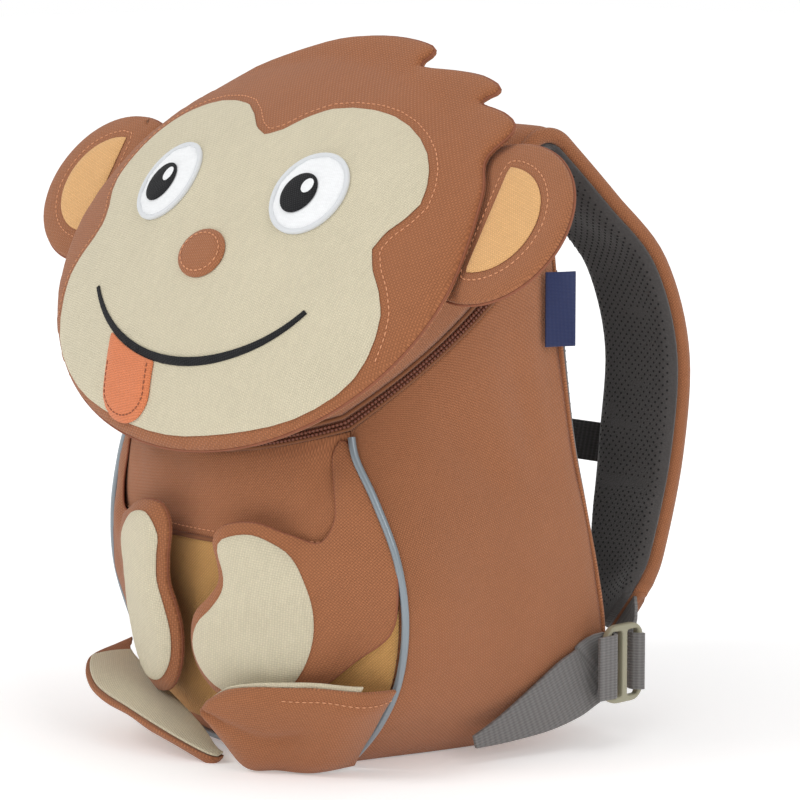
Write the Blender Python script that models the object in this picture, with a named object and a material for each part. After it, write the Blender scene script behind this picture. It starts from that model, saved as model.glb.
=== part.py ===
"""Kids backpack sewn as a seated cloth monkey: each cloth, padded and moulded piece at its real size.

Metres, +Z up. The face looks toward -Y, the wearer's back lies against the +Y side, and the origin
is on the floor under the middle of the body. Every cloth piece is a closed wall of real thickness.
"""
import math
from collections import namedtuple

import bmesh
import bpy
from mathutils import Vector
from mathutils.geometry import delaunay_2d_cdt

# Driving sizes of the bag body
BODY_WIDTH = 0.172
BODY_DEPTH = 0.110
BODY_HEIGHT = 0.205
BODY_WALL = 0.0020
GAP = 0.0003
SKIN_GAP = 0.0007
BAR_CLEARANCE = 0.0013
FRONT_STEPS = 12
SIDE_STEPS = 8
BACK_STEPS = 10
ROW_STEP = 0.5

# Driving sizes of the head, which is the lid
HEAD_WIDTH = 0.216
HEAD_HEIGHT = 0.168
HEAD_CROWN = 0.022
HEAD_PAD = 0.0050
HEAD_TILT = math.radians(32.0)
HEAD_SETBACK = 0.052
HEAD_LIFT = 0.195
HEAD_MESH_STEP = 0.0125
LID_RING_WIDTH = 0.178
LID_RING_HEIGHT = 0.146
LID_FRONT_TURN = math.radians(48.0)
ZIP_WIDTH = 0.0085
ZIP_SEAM = 0.0016
ZIP_TAPER = 0.25
TEETH_WIDTH = 0.0038
TEETH_HEIGHT = 0.0012
SLIDER_SIZE = (0.0085, 0.0068, 0.0032)
SKIN = 0.0010

# Driving sizes of ears, arms, feet, belly, back pad and piping
EAR_RADIUS = 0.036
EAR_PAD = 0.0070
EAR_OUT = 0.110
EAR_UP = 0.024
ARM_PAD = 0.0034
ARM_SEAM = 0.0012
ARM_LIFT = 0.0080
FOOT_PAD = 0.0040
FOOT_EDGE = 0.6
FOOT_STEPS = 5
BACK_PAD = 0.0065
PIPING_RADIUS = 0.0015

# Driving sizes of the straps and their fittings
STRAP_WIDTH = 0.042
STRAP_REACH = 0.0552
STRAP_PAD = 0.0060
STRAP_ROUND = 0.0020
STRAP_BEVEL = 0.0040
LINING_PAD = 0.0027
LINING_MARGIN = 0.0028
LINING_ROUND = 0.0012
LINING_BEVEL = 0.0030
STRAP_SECTIONS = 28
WEB_WIDTH = 0.025
WEB_THICKNESS = 0.0014
BUCKLE_LENGTH = 0.021
BUCKLE_HEIGHT = 0.031
BUCKLE_THICKNESS = 0.0032
BUCKLE_BAR = 0.0030
HEM_TAIL = 0.0040
CHEST_PLACE = 0.77
CHEST_WEB_WIDTH = 0.016
CHEST_CLASP_WIDTH = 0.026
CHEST_CLASP_HEIGHT = 0.021
CHEST_CLASP_DEPTH = 0.0075
LABEL_WIDTH = 0.0125
LABEL_HEIGHT = 0.029
LABEL_THICKNESS = 0.0009
LABEL_TUCK = 0.0030
LABEL_STAND = 0.0042
LABEL_PLACE = (0.93, 7.32)

HALF_WIDTH = BODY_WIDTH / 2
STRAP_OUTER = STRAP_PAD * 0.75

# Body sections from the floor up. x columns are shares of half the width, y, belly and back_bow
# shares of the depth, z, drop and rise shares of the height, side_bow of half the width.
Section = namedtuple(
    "Section", "front_x front_y front_z belly drop side_bow back_x back_y back_z back_bow rise")
SECTIONS = [
    Section(0.49, -0.420, 0.000, 0.05, 0.000, 0.03, 0.700, 0.200, 0.000, 0.01, 0.000),
    Section(0.60, -0.435, 0.024, 0.11, 0.000, 0.04, 0.860, 0.365, 0.049, 0.02, 0.000),
    Section(0.77, -0.435, 0.098, 0.18, 0.000, 0.05, 0.975, 0.470, 0.127, 0.02, 0.000),
    Section(0.885, -0.435, 0.185, 0.23, 0.000, 0.05, 1.000, 0.500, 0.205, 0.02, 0.000),
    Section(0.965, -0.465, 0.300, 0.245, 0.000, 0.05, 0.990, 0.475, 0.320, 0.02, 0.000),
    Section(0.945, -0.490, 0.415, 0.245, 0.000, 0.05, 0.960, 0.435, 0.450, 0.02, 0.000),
    Section(0.85, -0.520, 0.520, 0.225, 0.005, 0.07, 0.930, 0.390, 0.585, 0.03, 0.010),
    Section(0.755, -0.540, 0.595, 0.215, 0.020, 0.10, 0.895, 0.355, 0.780, 0.05, 0.030),
    Section(0.71, -0.530, 0.645, 0.220, 0.055, 0.12, 0.860, 0.330, 1.000, 0.09, 0.083),
]
TOP_ROW = len(SECTIONS) - 1

# Arm and palm outlines on the front, x as a share of half the body width, z of its height.
RIGHT_ARM = [
    (0.70, 0.625), (0.78, 0.520), (0.86, 0.430), (0.885, 0.345), (0.825, 0.275), (0.725, 0.222),
    (0.60, 0.175), (0.48, 0.146), (0.36, 0.134), (0.24, 0.136), (0.12, 0.155), (0.055, 0.195),
    (0.035, 0.248), (0.080, 0.300), (0.175, 0.335), (0.230, 0.365), (0.228, 0.402), (0.215, 0.440),
    (0.270, 0.468), (0.40, 0.474), (0.52, 0.455), (0.61, 0.440), (0.67, 0.446), (0.70, 0.485),
    (0.69, 0.540), (0.665, 0.600),
]
RIGHT_PALM = [
    (0.276, 0.445), (0.39, 0.455), (0.492, 0.437), (0.550, 0.416), (0.592, 0.386), (0.617, 0.341),
    (0.618, 0.295), (0.590, 0.250), (0.540, 0.209), (0.470, 0.177), (0.365, 0.158), (0.250, 0.158),
    (0.145, 0.178), (0.085, 0.212), (0.070, 0.250), (0.118, 0.288), (0.205, 0.320), (0.262, 0.352),
    (0.268, 0.385), (0.250, 0.420),
]
LEFT_ARM = [
    (0.70, 0.625), (0.78, 0.520), (0.86, 0.430), (0.885, 0.345), (0.83, 0.270), (0.75, 0.215),
    (0.63, 0.165), (0.48, 0.132), (0.32, 0.122), (0.17, 0.142), (0.075, 0.190), (0.035, 0.250),
    (0.050, 0.305), (0.080, 0.350), (0.060, 0.400), (0.030, 0.450), (0.080, 0.492), (0.22, 0.490),
    (0.38, 0.462), (0.52, 0.438), (0.64, 0.440), (0.70, 0.480), (0.69, 0.540), (0.665, 0.600),
]
LEFT_PALM = [
    (0.135, 0.474), (0.28, 0.462), (0.38, 0.425), (0.43, 0.375), (0.46, 0.315), (0.48, 0.260),
    (0.48, 0.205), (0.41, 0.165), (0.30, 0.150), (0.18, 0.165), (0.100, 0.203), (0.070, 0.252),
    (0.085, 0.305), (0.115, 0.352), (0.095, 0.400), (0.072, 0.440),
]
ARM_OUTLINES = {"right": (RIGHT_ARM, RIGHT_PALM), "left": (LEFT_ARM, LEFT_PALM)}

# Feet as slanted sheets between a far edge at the body and a near edge, x as shares of half the
# width, y of the depth and z of the height.
FootRow = namedtuple("FootRow", "far_x far_y far_z near_x near_y near_z")
RIGHT_FOOT = [
    FootRow(0.900, -0.467, 0.172, 0.635, -0.467, 0.014),
    FootRow(0.86, -0.600, 0.175, 0.56, -0.610, 0.006),
    FootRow(0.70, -0.680, 0.178, 0.42, -0.665, 0.006),
    FootRow(0.59, -0.755, 0.178, 0.32, -0.735, 0.010),
    FootRow(0.47, -0.815, 0.176, 0.26, -0.800, 0.058),
    FootRow(0.35, -0.850, 0.166, 0.22, -0.845, 0.098),
    FootRow(0.25, -0.860, 0.142, 0.20, -0.862, 0.122),
]
LEFT_FOOT = [
    FootRow(-0.888, -0.460, 0.160, -0.910, -0.515, 0.150),
    FootRow(-0.78, -0.530, 0.140, -0.82, -0.710, 0.140),
    FootRow(-0.52, -0.595, 0.112, -0.58, -0.850, 0.112),
    FootRow(-0.28, -0.645, 0.085, -0.31, -0.860, 0.082),
    FootRow(-0.07, -0.680, 0.053, -0.07, -0.830, 0.048),
    FootRow(0.07, -0.710, 0.024, 0.09, -0.775, 0.020),
    FootRow(0.12, -0.705, 0.014, 0.13, -0.735, 0.013),
]

# Lines of each sole between the far edge, 0, and the near edge, 1, of its foot.
RIGHT_SOLE = (-0.04, 0.10, 0.30, 0.50, 0.70, 0.88)
LEFT_SOLE = (0.02, 0.20, 0.40, 0.60, 0.80, 0.93)

# Shoulder strap route, x as a share of half the width, reach from the back panel as a share of the
# strap's reach, z of the height, width of the strap width, roll in degrees about the route.
StrapRow = namedtuple("StrapRow", "x reach z width roll")
STRAP_ROUTE = [
    StrapRow(0.270, 0.000, 0.965, 1.00, 0.0),
    StrapRow(0.270, 0.000, 1.034, 1.00, 0.0),
    StrapRow(0.275, 0.009, 1.078, 1.00, 0.0),
    StrapRow(0.285, 0.067, 1.116, 1.00, 0.0),
    StrapRow(0.300, 0.172, 1.140, 1.00, 0.0),
    StrapRow(0.320, 0.302, 1.137, 1.00, 0.0),
    StrapRow(0.345, 0.420, 1.107, 1.00, 0.0),
    StrapRow(0.450, 0.665, 1.015, 1.00, 0.0),
    StrapRow(0.580, 0.936, 0.900, 1.00, 0.0),
    StrapRow(0.690, 1.000, 0.730, 1.00, 0.0),
    StrapRow(0.735, 0.873, 0.537, 1.00, 0.0),
    StrapRow(0.780, 0.660, 0.345, 0.95, 8.0),
    StrapRow(0.840, 0.537, 0.272, 0.82, 20.0),
    StrapRow(0.910, 0.437, 0.232, 0.66, 35.0),
]

# Hem webbing along the lower side edge up to the ladder buckle, x as a share of half the width,
# y of the depth, z of the height and width of the webbing width.
WebRow = namedtuple("WebRow", "x y z width")
ANCHOR_ROUTE = [
    WebRow(0.925, -0.100, 0.042, 0.20),
    WebRow(0.955, 0.030, 0.060, 0.46),
    WebRow(1.000, 0.180, 0.090, 0.80),
    WebRow(1.025, 0.300, 0.118, 1.00),
    WebRow(1.036, 0.385, 0.138, 1.00),
]
BUCKLE_PLACE = (1.095, 0.510, 0.156)
HEM_TURN = (-95, -60, -25, 10, 45, 80, 105)
STRAP_WEB_TURN = (-100, -135, -170, -205, -240, -265)

# Hair tufts of the head outline, as shares of half the head width and half its height.
HAIR = [
    (0.985, 0.22), (0.955, 0.42), (0.905, 0.565), (0.985, 0.715), (0.90, 0.79), (0.765, 0.835),
    (0.84, 0.905), (0.73, 0.965), (0.58, 0.985), (0.40, 1.000), (0.445, 1.085), (0.33, 1.130),
    (0.15, 1.145), (-0.05, 1.120), (-0.24, 1.050), (-0.42, 0.950),
]

# Plain face of the builder's own layout, as shares of half the head width and half its height.
FACE_LOBE = dict(out=0.37, up=0.26, wide=0.43, high=0.44)
FACE_JAW = dict(up=-0.36, wide=0.84, high=0.60)
EYE = dict(out=0.37, up=0.20, radius=0.0165, tall=1.08)
PUPIL = dict(inward=0.0035, down=0.0010, radius=0.0080, tall=1.1)
NOSE = dict(up=-0.16, wide=0.0125, high=0.0100)
MOUTH = dict(up=0.10, radius=0.074, squash=0.86, start=216.0, end=324.0, thick=0.0019)
TONGUE = dict(angle=250.0, wide=0.0150, long=0.024)

COLOURS = {
    "brown": (0.42, 0.165, 0.078),
    "cream": (0.62, 0.565, 0.40),
    "ochre": (0.56, 0.28, 0.072),
    "apricot": (0.78, 0.42, 0.15),
    "coral": (0.74, 0.20, 0.075),
    "black": (0.012, 0.012, 0.013),
    "white": (0.86, 0.86, 0.85),
    "navy": (0.025, 0.045, 0.16),
    "dark brown": (0.15, 0.045, 0.022),
    "piping grey": (0.24, 0.27, 0.30),
    "mesh grey": (0.115, 0.110, 0.105),
    "web grey": (0.25, 0.25, 0.235),
    "khaki": (0.32, 0.30, 0.20),
    "charcoal": (0.03, 0.03, 0.033),
}


def clear_scene():
    """Start from an empty scene."""
    for old in list(bpy.data.objects):
        bpy.data.objects.remove(old, do_unlink=True)


def material(name, colour, roughness=0.85):
    """One Principled material of a named colour."""
    made = bpy.data.materials.new(name)
    made.use_nodes = True
    shader = made.node_tree.nodes["Principled BSDF"]
    shader.inputs["Base Color"].default_value = (*COLOURS[colour], 1.0)
    shader.inputs["Roughness"].default_value = roughness
    made.diffuse_color = (*COLOURS[colour], 1.0)
    return made


def solid(name, points, faces, colour, roughness=0.85):
    """Object from points and faces, with its faces turned outward."""
    mesh = bpy.data.meshes.new(name)
    work = bmesh.new()
    corners = [work.verts.new(point) for point in points]
    for face in faces:
        work.faces.new([corners[index] for index in face])
    bmesh.ops.recalc_face_normals(work, faces=work.faces)
    work.to_mesh(mesh)
    work.free()
    mesh.shade_smooth()
    mesh.set_sharp_from_angle(angle=math.radians(40))
    made = bpy.data.objects.new(name, mesh)
    bpy.context.scene.collection.objects.link(made)
    made.data.materials.append(material(name, colour, roughness))
    return made


def mix(a, b, share):
    """Value or vector between a and b."""
    return a + (b - a) * share


def ease(share):
    """Smooth step from 0 to 1."""
    share = max(0.0, min(1.0, share))
    return share * share * (3 - 2 * share)


def spline(before, start, end, after, share):
    """Catmull-Rom value between start and end."""
    square = share * share
    cube = square * share
    return 0.5 * (2 * start + (end - before) * share + (2 * before - 5 * start + 4 * end - after) * square
                  + (3 * start - before - 3 * end + after) * cube)


def smooth_row(table, row):
    """Row of a table at a fractional place, on a smooth curve through its rows."""
    last = len(table) - 1
    first = min(int(row), last - 1)
    near = [table[max(0, min(last, first + step))] for step in (-1, 0, 1, 2)]
    return type(table[0])(*[spline(*column, row - first) for column in zip(*near)])


def front_point(across, row):
    """Point of the front panel, across from -1 to 1 and row in the section table."""
    cut = smooth_row(SECTIONS, row)
    bow = 1 - across * across
    return Vector((cut.front_x * across * HALF_WIDTH, (cut.front_y - cut.belly * bow) * BODY_DEPTH,
                   (cut.front_z - cut.drop * bow) * BODY_HEIGHT))


def back_point(across, row):
    """Point of the back panel, across from -1 to 1 and row in the section table."""
    cut = smooth_row(SECTIONS, row)
    bow = 1 - across * across
    return Vector((cut.back_x * across * HALF_WIDTH, (cut.back_y + cut.back_bow * bow) * BODY_DEPTH,
                   (cut.back_z + cut.rise * bow) * BODY_HEIGHT))


def side_point(along, row):
    """Point of the right side panel, along from 0 at the front seam to 1 at the back seam."""
    cut = smooth_row(SECTIONS, row)
    point = mix(front_point(1, row), back_point(1, row), along)
    point.x += cut.side_bow * HALF_WIDTH * math.sin(math.pi * along)
    return point


def body_ring(row):
    """Closed ring of the body, from the left front seam round to the right."""
    ring = [front_point(-1 + 2 * k / FRONT_STEPS, row) for k in range(FRONT_STEPS)]
    ring += [side_point(k / SIDE_STEPS, row) for k in range(SIDE_STEPS)]
    ring += [back_point(1 - 2 * k / BACK_STEPS, row) for k in range(BACK_STEPS)]
    left = [side_point(1 - k / SIDE_STEPS, row) for k in range(SIDE_STEPS)]
    ring += [Vector((-point.x, point.y, point.z)) for point in left]
    return ring


def ring_places():
    """Panel name and place along it for each point of a ring."""
    places = [("front", -1 + 2 * k / FRONT_STEPS) for k in range(FRONT_STEPS)]
    places += [("right", k / SIDE_STEPS) for k in range(SIDE_STEPS)]
    places += [("back", 1 - 2 * k / BACK_STEPS) for k in range(BACK_STEPS)]
    places += [("left", 1 - k / SIDE_STEPS) for k in range(SIDE_STEPS)]
    return places


def ring_normals(below, ring, above):
    """Outward directions at a ring from its neighbours below and above."""
    count = len(ring)
    normals = []
    for k in range(count):
        around = ring[(k + 1) % count] - ring[k - 1]
        upward = (ring[k] - below[k]).normalized() + (above[k] - ring[k]).normalized()
        normals.append(around.cross(upward).normalized())
    return normals


def head_point(across, up, out):
    """Point in the tilted frame of the head panel."""
    sine, cosine = math.sin(HEAD_TILT), math.cos(HEAD_TILT)
    return Vector((across, -HEAD_SETBACK + up * sine - out * cosine, HEAD_LIFT + up * cosine + out * sine))


def dome(across, up):
    """Height of the head panel's outer face over its rim plane."""
    reach = (2 * across / HEAD_WIDTH) ** 2 + (2 * up / HEAD_HEIGHT) ** 2
    return HEAD_CROWN * max(0.0, 1 - reach) ** 0.9


def lid_ring():
    """Ring where the lid gusset meets the back of the head panel, and its outward directions."""
    quarter = LID_FRONT_TURN
    ring, normals = [], []
    for panel, along in ring_places():
        if panel == "front":
            angle = -math.pi / 2 + quarter * along
        elif panel == "right":
            angle = mix(-math.pi / 2 + quarter, math.pi / 2 - quarter, along)
        elif panel == "back":
            angle = math.pi / 2 - quarter * along
        else:
            angle = math.pi - mix(-math.pi / 2 + quarter, math.pi / 2 - quarter, along)
        across = LID_RING_WIDTH / 2 * math.cos(angle)
        up = LID_RING_HEIGHT / 2 * math.sin(angle)
        ring.append(head_point(across, up, dome(across, up) - HEAD_PAD - SKIN_GAP))
        outward = head_point(math.cos(angle), math.sin(angle), 0) - head_point(0, 0, 0)
        normals.append(outward.normalized())
    return ring, normals


def zip_share():
    """How wide the zip is at each ring point, 1 at the front and 0 along the hinge at the back."""
    shares = []
    for panel, along in ring_places():
        if panel == "front":
            shares.append(1.0)
        elif panel == "back":
            shares.append(0.0)
        else:
            shares.append(min(1.0, (1 - along) / ZIP_TAPER))
    return shares


def band(name, lower, upper, inner_lower, inner_upper, colour, rows=1, closed=True, roughness=0.85):
    """Cloth band between two rings of outer points and their inner points."""
    count = len(lower)
    points = []
    for row in range(rows + 1):
        points += [mix(lower[k], upper[k], row / rows) for k in range(count)]
    for row in range(rows + 1):
        points += [mix(inner_lower[k], inner_upper[k], row / rows) for k in range(count)]
    shift = (rows + 1) * count
    faces = []
    span = count if closed else count - 1
    for k in range(span):
        nxt = (k + 1) % count
        for row in range(rows):
            low, high = row * count, (row + 1) * count
            faces.append((low + k, low + nxt, high + nxt, high + k))
            faces.append((shift + low + nxt, shift + low + k, shift + high + k, shift + high + nxt))
        top = rows * count
        faces.append((nxt, k, shift + k, shift + nxt))
        faces.append((top + k, top + nxt, shift + top + nxt, shift + top + k))
    if not closed:
        for end in (0, count - 1):
            outer = [row * count + end for row in range(rows + 1)]
            inner = [shift + row * count + end for row in range(rows, -1, -1)]
            faces.append(tuple(outer + inner))
    return solid(name, points, faces, colour, roughness)


def body_and_lid():
    """Body shell, zip and lid gusset, which share one mitred skin."""
    rows = [step * ROW_STEP for step in range(int(TOP_ROW / ROW_STEP) + 1)]
    rings = [body_ring(row) for row in rows]
    head, head_normals = lid_ring()
    count = len(head)
    inner = []
    for index, ring in enumerate(rings):
        below = rings[index - 1] if index else [point - Vector((0, 0, 1)) for point in ring]
        above = rings[index + 1] if index + 1 < len(rings) else head
        normals = ring_normals(below, ring, above)
        inner.append([ring[k] - BODY_WALL * normals[k] for k in range(count)])
    inner[0] = [Vector((point.x, point.y, BODY_WALL)) for point in inner[0]]
    last = len(rings) * count
    points = [point for ring in rings for point in ring] + [point for ring in inner for point in ring]
    faces = [tuple(range(count - 1, -1, -1)), tuple(last + k for k in range(count))]
    for index in range(len(rings) - 1):
        low, high = index * count, (index + 1) * count
        for k in range(count):
            nxt = (k + 1) % count
            faces.append((low + k, low + nxt, high + nxt, high + k))
            faces.append((last + low + nxt, last + low + k, last + high + k, last + high + nxt))
    top = (len(rings) - 1) * count
    for k in range(count):
        nxt = (k + 1) % count
        faces.append((top + k, top + nxt, last + top + nxt, last + top + k))
    solid("body_shell", points, faces, "brown")

    # The band above the opening: the zip first, then the gusset up to the head panel.
    rim, rim_inner = rings[-1], inner[-1]
    spans = [(head[k] - rim[k]).length for k in range(count)]
    shares = zip_share()
    head_inner = [head[k] - BODY_WALL * head_normals[k] for k in range(count)]

    def level(k, height):
        share = height / spans[k]
        return mix(rim[k], head[k], share), mix(rim_inner[k], head_inner[k], share)

    tops = [max(GAP, ZIP_SEAM * min(1.0, 8 * shares[k]), ZIP_WIDTH * shares[k]) for k in range(count)]
    seam = [level(k, tops[k] + GAP if shares[k] else GAP) for k in range(count)]
    band("lid_gusset", [pair[0] for pair in seam], head, [pair[1] for pair in seam], head_inner,
         "brown", rows=3)
    first_back = FRONT_STEPS + SIDE_STEPS
    run = list(range(first_back + BACK_STEPS + 1, count)) + list(range(first_back))
    low = [level(k, GAP) for k in run]
    high = [level(k, tops[k]) for k in run]
    band("zip_tape", [pair[0] for pair in low], [pair[0] for pair in high],
         [pair[1] for pair in low], [pair[1] for pair in high], "dark brown", closed=False)

    # The coil lies on the middle of the tape, except where the tape tapers into the seam.
    run = run[2:-2]
    middle = [level(k, tops[k] / 2) for k in run]
    outward = []
    for k in run:
        around = rim[(k + 1) % count] - rim[k - 1]
        outward.append(around.cross(head[k] - rim[k]).normalized())
    rise = [(head[k] - rim[k]).normalized() for k in run]
    base = [middle[i][0] + outward[i] * SKIN_GAP for i in range(len(run))]
    crest = [point + outward[i] * TEETH_HEIGHT for i, point in enumerate(base)]
    half = TEETH_WIDTH / 2
    band("zip_teeth", [crest[i] - rise[i] * half for i in range(len(run))],
         [crest[i] + rise[i] * half for i in range(len(run))],
         [base[i] - rise[i] * half for i in range(len(run))],
         [base[i] + rise[i] * half for i in range(len(run))], "dark brown", closed=False, roughness=0.5)
    zip_slider(crest[1], outward[1], rise[1], (crest[2] - crest[0]).normalized())


def zip_slider(place, outward, across, along):
    """Plain slider on the far side of the zip."""
    block("zip_slider", place + outward * (SKIN_GAP + SLIDER_SIZE[2] / 2), (along, across, outward),
          SLIDER_SIZE, "charcoal", 0.4)


def block(name, centre, axes, size, colour, roughness=0.6, bevel=0.2):
    """Box on three axes with its long corners cut."""
    along, across, out = axes
    length, width, height = (value / 2 for value in size)
    cut = bevel * min(length, width)
    outline = [(-length + cut, -width), (length - cut, -width), (length, -width + cut), (length, width - cut),
               (length - cut, width), (-length + cut, width), (-length, width - cut), (-length, -width + cut)]
    points = [centre + along * a + across * b + out * h for h in (-height, height) for a, b in outline]
    count = len(outline)
    faces = [tuple(range(count - 1, -1, -1)), tuple(range(count, 2 * count))]
    faces += [(k, (k + 1) % count, count + (k + 1) % count, count + k) for k in range(count)]
    return solid(name, points, faces, colour, roughness)


def inside(point, outline):
    """Whether a point lies inside a closed outline."""
    crossings = False
    for (ax, ay), (bx, by) in zip(outline, outline[1:] + outline[:1]):
        if (ay > point[1]) != (by > point[1]):
            if point[0] < ax + (bx - ax) * (point[1] - ay) / (by - ay):
                crossings = not crossings
    return crossings


def edge_distance(point, outline):
    """Distance from a point to the nearest edge of an outline."""
    here = Vector(point)
    nearest = 1.0
    for start, end in zip(outline, outline[1:] + outline[:1]):
        first, run = Vector(start), Vector(end) - Vector(start)
        share = max(0.0, min(1.0, (here - first).dot(run) / run.length_squared))
        nearest = min(nearest, (here - first - run * share).length)
    return nearest


def flat_net(outline, step):
    """Triangles over an outline, with inner points on a grid."""
    xs = [point[0] for point in outline]
    ys = [point[1] for point in outline]
    points = [Vector(point) for point in outline]
    row = 0
    up = min(ys) + step / 2
    while up < max(ys):
        across = min(xs) + step * (0.5 + 0.5 * (row % 2))
        while across < max(xs):
            spot = (across, up)
            if inside(spot, outline) and edge_distance(spot, outline) > 0.4 * step:
                points.append(Vector(spot))
            across += step
        up += step * 0.87
        row += 1
    net = delaunay_2d_cdt(points, [], [list(range(len(outline)))], 1, 1e-7)
    return [tuple(point) for point in net[0]], [tuple(face) for face in net[2]]


def flap(name, outline, place, low, high, step, colour, roughness=0.85):
    """Closed cloth piece over an outline, between two heights over the surface place gives."""
    spots, triangles = flat_net(outline, step)
    count = len(spots)
    depth = [edge_distance(spot, outline) for spot in spots]
    points = [place(*spots[k], low(*spots[k], depth[k])) for k in range(count)]
    points += [place(*spots[k], high(*spots[k], depth[k])) for k in range(count)]
    faces = []
    rim = {}
    for a, b, c in triangles:
        faces.append((c, b, a))
        faces.append((count + a, count + b, count + c))
        for start, end in ((a, b), (b, c), (c, a)):
            rim[(start, end)] = True
    for start, end in rim:
        if (end, start) not in rim:
            faces.append((start, end, count + end, count + start))
    return solid(name, points, faces, colour, roughness)


def slab(name, grid, low, high, colour, roughness=0.85):
    """Closed sheet over a grid of points, between two heights along its normals."""
    rows, columns = len(grid), len(grid[0])
    bottom, top = [], []
    for i in range(rows):
        for j in range(columns):
            down = grid[min(i + 1, rows - 1)][j] - grid[max(i - 1, 0)][j]
            across = grid[i][min(j + 1, columns - 1)] - grid[i][max(j - 1, 0)]
            normal = down.cross(across).normalized()
            bottom.append(grid[i][j] + normal * low(i, j))
            top.append(grid[i][j] + normal * high(i, j))
    count = rows * columns
    faces = []
    for i in range(rows - 1):
        for j in range(columns - 1):
            a = i * columns + j
            quad = (a, a + 1, a + columns + 1, a + columns)
            faces.append(quad)
            faces.append(tuple(count + corner for corner in reversed(quad)))
    border = [j for j in range(columns)]
    border += [i * columns + columns - 1 for i in range(1, rows)]
    border += [(rows - 1) * columns + j for j in range(columns - 2, -1, -1)]
    border += [i * columns for i in range(rows - 2, 0, -1)]
    for start, end in zip(border, border[1:] + border[:1]):
        faces.append((end, start, count + start, count + end))
    return solid(name, bottom + top, faces, colour, roughness)


def smooth_loop(outline, parts=3):
    """Closed smooth curve through an outline's points."""
    count = len(outline)
    loop = []
    for k in range(count):
        near = [outline[(k + step) % count] for step in (-1, 0, 1, 2)]
        for part in range(parts):
            loop.append(tuple(spline(*column, part / parts) for column in zip(*near)))
    return loop


def wall_place(panel, across, height, out):
    """Point over the front or back panel at a width and a height, moved outward."""
    low, high = 0.0, float(TOP_ROW)
    for _ in range(28):
        row = (low + high) / 2
        cut = smooth_row(SECTIONS, row)
        edge = (cut.front_x if panel is front_point else cut.back_x) * HALF_WIDTH
        if panel(max(-1.0, min(1.0, across / edge)), row).z < height:
            low = row
        else:
            high = row
    share = max(-1.0, min(1.0, across / edge))
    row = min(max(row, 0.05), TOP_ROW - 0.05)
    here = panel(share, row)
    run = panel(share + 0.01, row) - panel(share - 0.01, row)
    rise = panel(share, row + 0.05) - panel(share, row - 0.05)
    normal = run.cross(rise).normalized()
    if panel is back_point:
        normal.negate()
    return here + normal * out


def arms():
    """Arm flaps sewn into the front seams, with a cream palm on each hand."""
    for side, sign in (("right", 1), ("left", -1)):
        def scaled(outline):
            loop = [(sign * x * HALF_WIDTH, z * BODY_HEIGHT) for x, z in smooth_loop(outline, 2)]
            return loop if sign > 0 else loop[::-1]

        def away(across):
            return ease(1.15 * (1.0 - abs(across) / (0.90 * HALF_WIDTH)))

        def lift(across):
            return 2 * GAP + SKIN + ARM_LIFT * away(across)

        def pad(across):
            return mix(ARM_SEAM, ARM_PAD, min(1.0, 2.5 * away(across)))

        def over_front(across, height, out):
            return wall_place(front_point, across, height, out)

        flap("arm_" + side, scaled(ARM_OUTLINES[side][0]), over_front,
             lambda x, z, depth: lift(x),
             lambda x, z, depth: lift(x) + pad(x) * (0.6 + 0.4 * min(1.0, depth / 0.004)),
             0.0105, "brown")
        flap("palm_" + side, scaled(ARM_OUTLINES[side][1]), over_front,
             lambda x, z, depth: lift(x) + pad(x) + SKIN_GAP,
             lambda x, z, depth: lift(x) + pad(x) + SKIN_GAP + SKIN,
             0.0105, "cream")


def panel_grid(panel, steps, margin, first_row, last_row):
    """Grid over the front or back panel on the body's own rows and columns, short of its seams."""
    columns = [-1 + 2 * k / steps for k in range(1, steps)]
    grid = []
    for step in range(round((last_row - first_row) / ROW_STEP) + 1):
        row = first_row + step * ROW_STEP
        line = [panel(across, row) for across in columns]
        left = mix(panel(-1, row), line[0], margin)
        right = mix(panel(1, row), line[-1], margin)
        grid.append([left] + line + [right])
    return grid


def belly():
    """Ochre belly panel laid over the front below the arms."""
    grid = panel_grid(front_point, FRONT_STEPS, 0.55, 1.5, 5.0)
    slab("belly_panel", grid, lambda i, j: -GAP - SKIN, lambda i, j: -GAP, "ochre")


def feet():
    """Brown foot flaps with cream soles."""
    for side, table, shares in (("right", RIGHT_FOOT, RIGHT_SOLE), ("left", LEFT_FOOT, LEFT_SOLE)):
        grid, sole = [], []
        last = 2 * (len(table) - 1)
        for step in range(last + 1):
            cut = smooth_row(table, step / 2)
            far = Vector((cut.far_x * HALF_WIDTH, cut.far_y * BODY_DEPTH, cut.far_z * BODY_HEIGHT))
            near = Vector((cut.near_x * HALF_WIDTH, cut.near_y * BODY_DEPTH, cut.near_z * BODY_HEIGHT))
            grid.append([mix(far, near, k / FOOT_STEPS) for k in range(FOOT_STEPS + 1)])
            sole.append([mix(far, near, share) for share in shares])

        def pad(i, j):
            return FOOT_PAD * (FOOT_EDGE if i in (0, last) or j in (0, FOOT_STEPS) else 1.0)

        slab("leg_" + side, grid, lambda i, j: GAP, lambda i, j: GAP + pad(i, j), "brown")
        slab("sole_" + side, sole[2:-1], lambda i, j: -SKIN, lambda i, j: 0.0, "cream")


def back_pad():
    """Padded mesh panel against the wearer's back."""
    grid = panel_grid(back_point, BACK_STEPS, 0.12, 2.5, 7.5)
    last_row, last_column = len(grid) - 1, len(grid[0]) - 1

    def pad(i, j):
        return BACK_PAD * (0.45 if i in (0, last_row) or j in (0, last_column) else 1.0)

    slab("back_pad", grid, lambda i, j: SKIN_GAP, lambda i, j: SKIN_GAP + pad(i, j), "mesh grey", 0.95)


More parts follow.
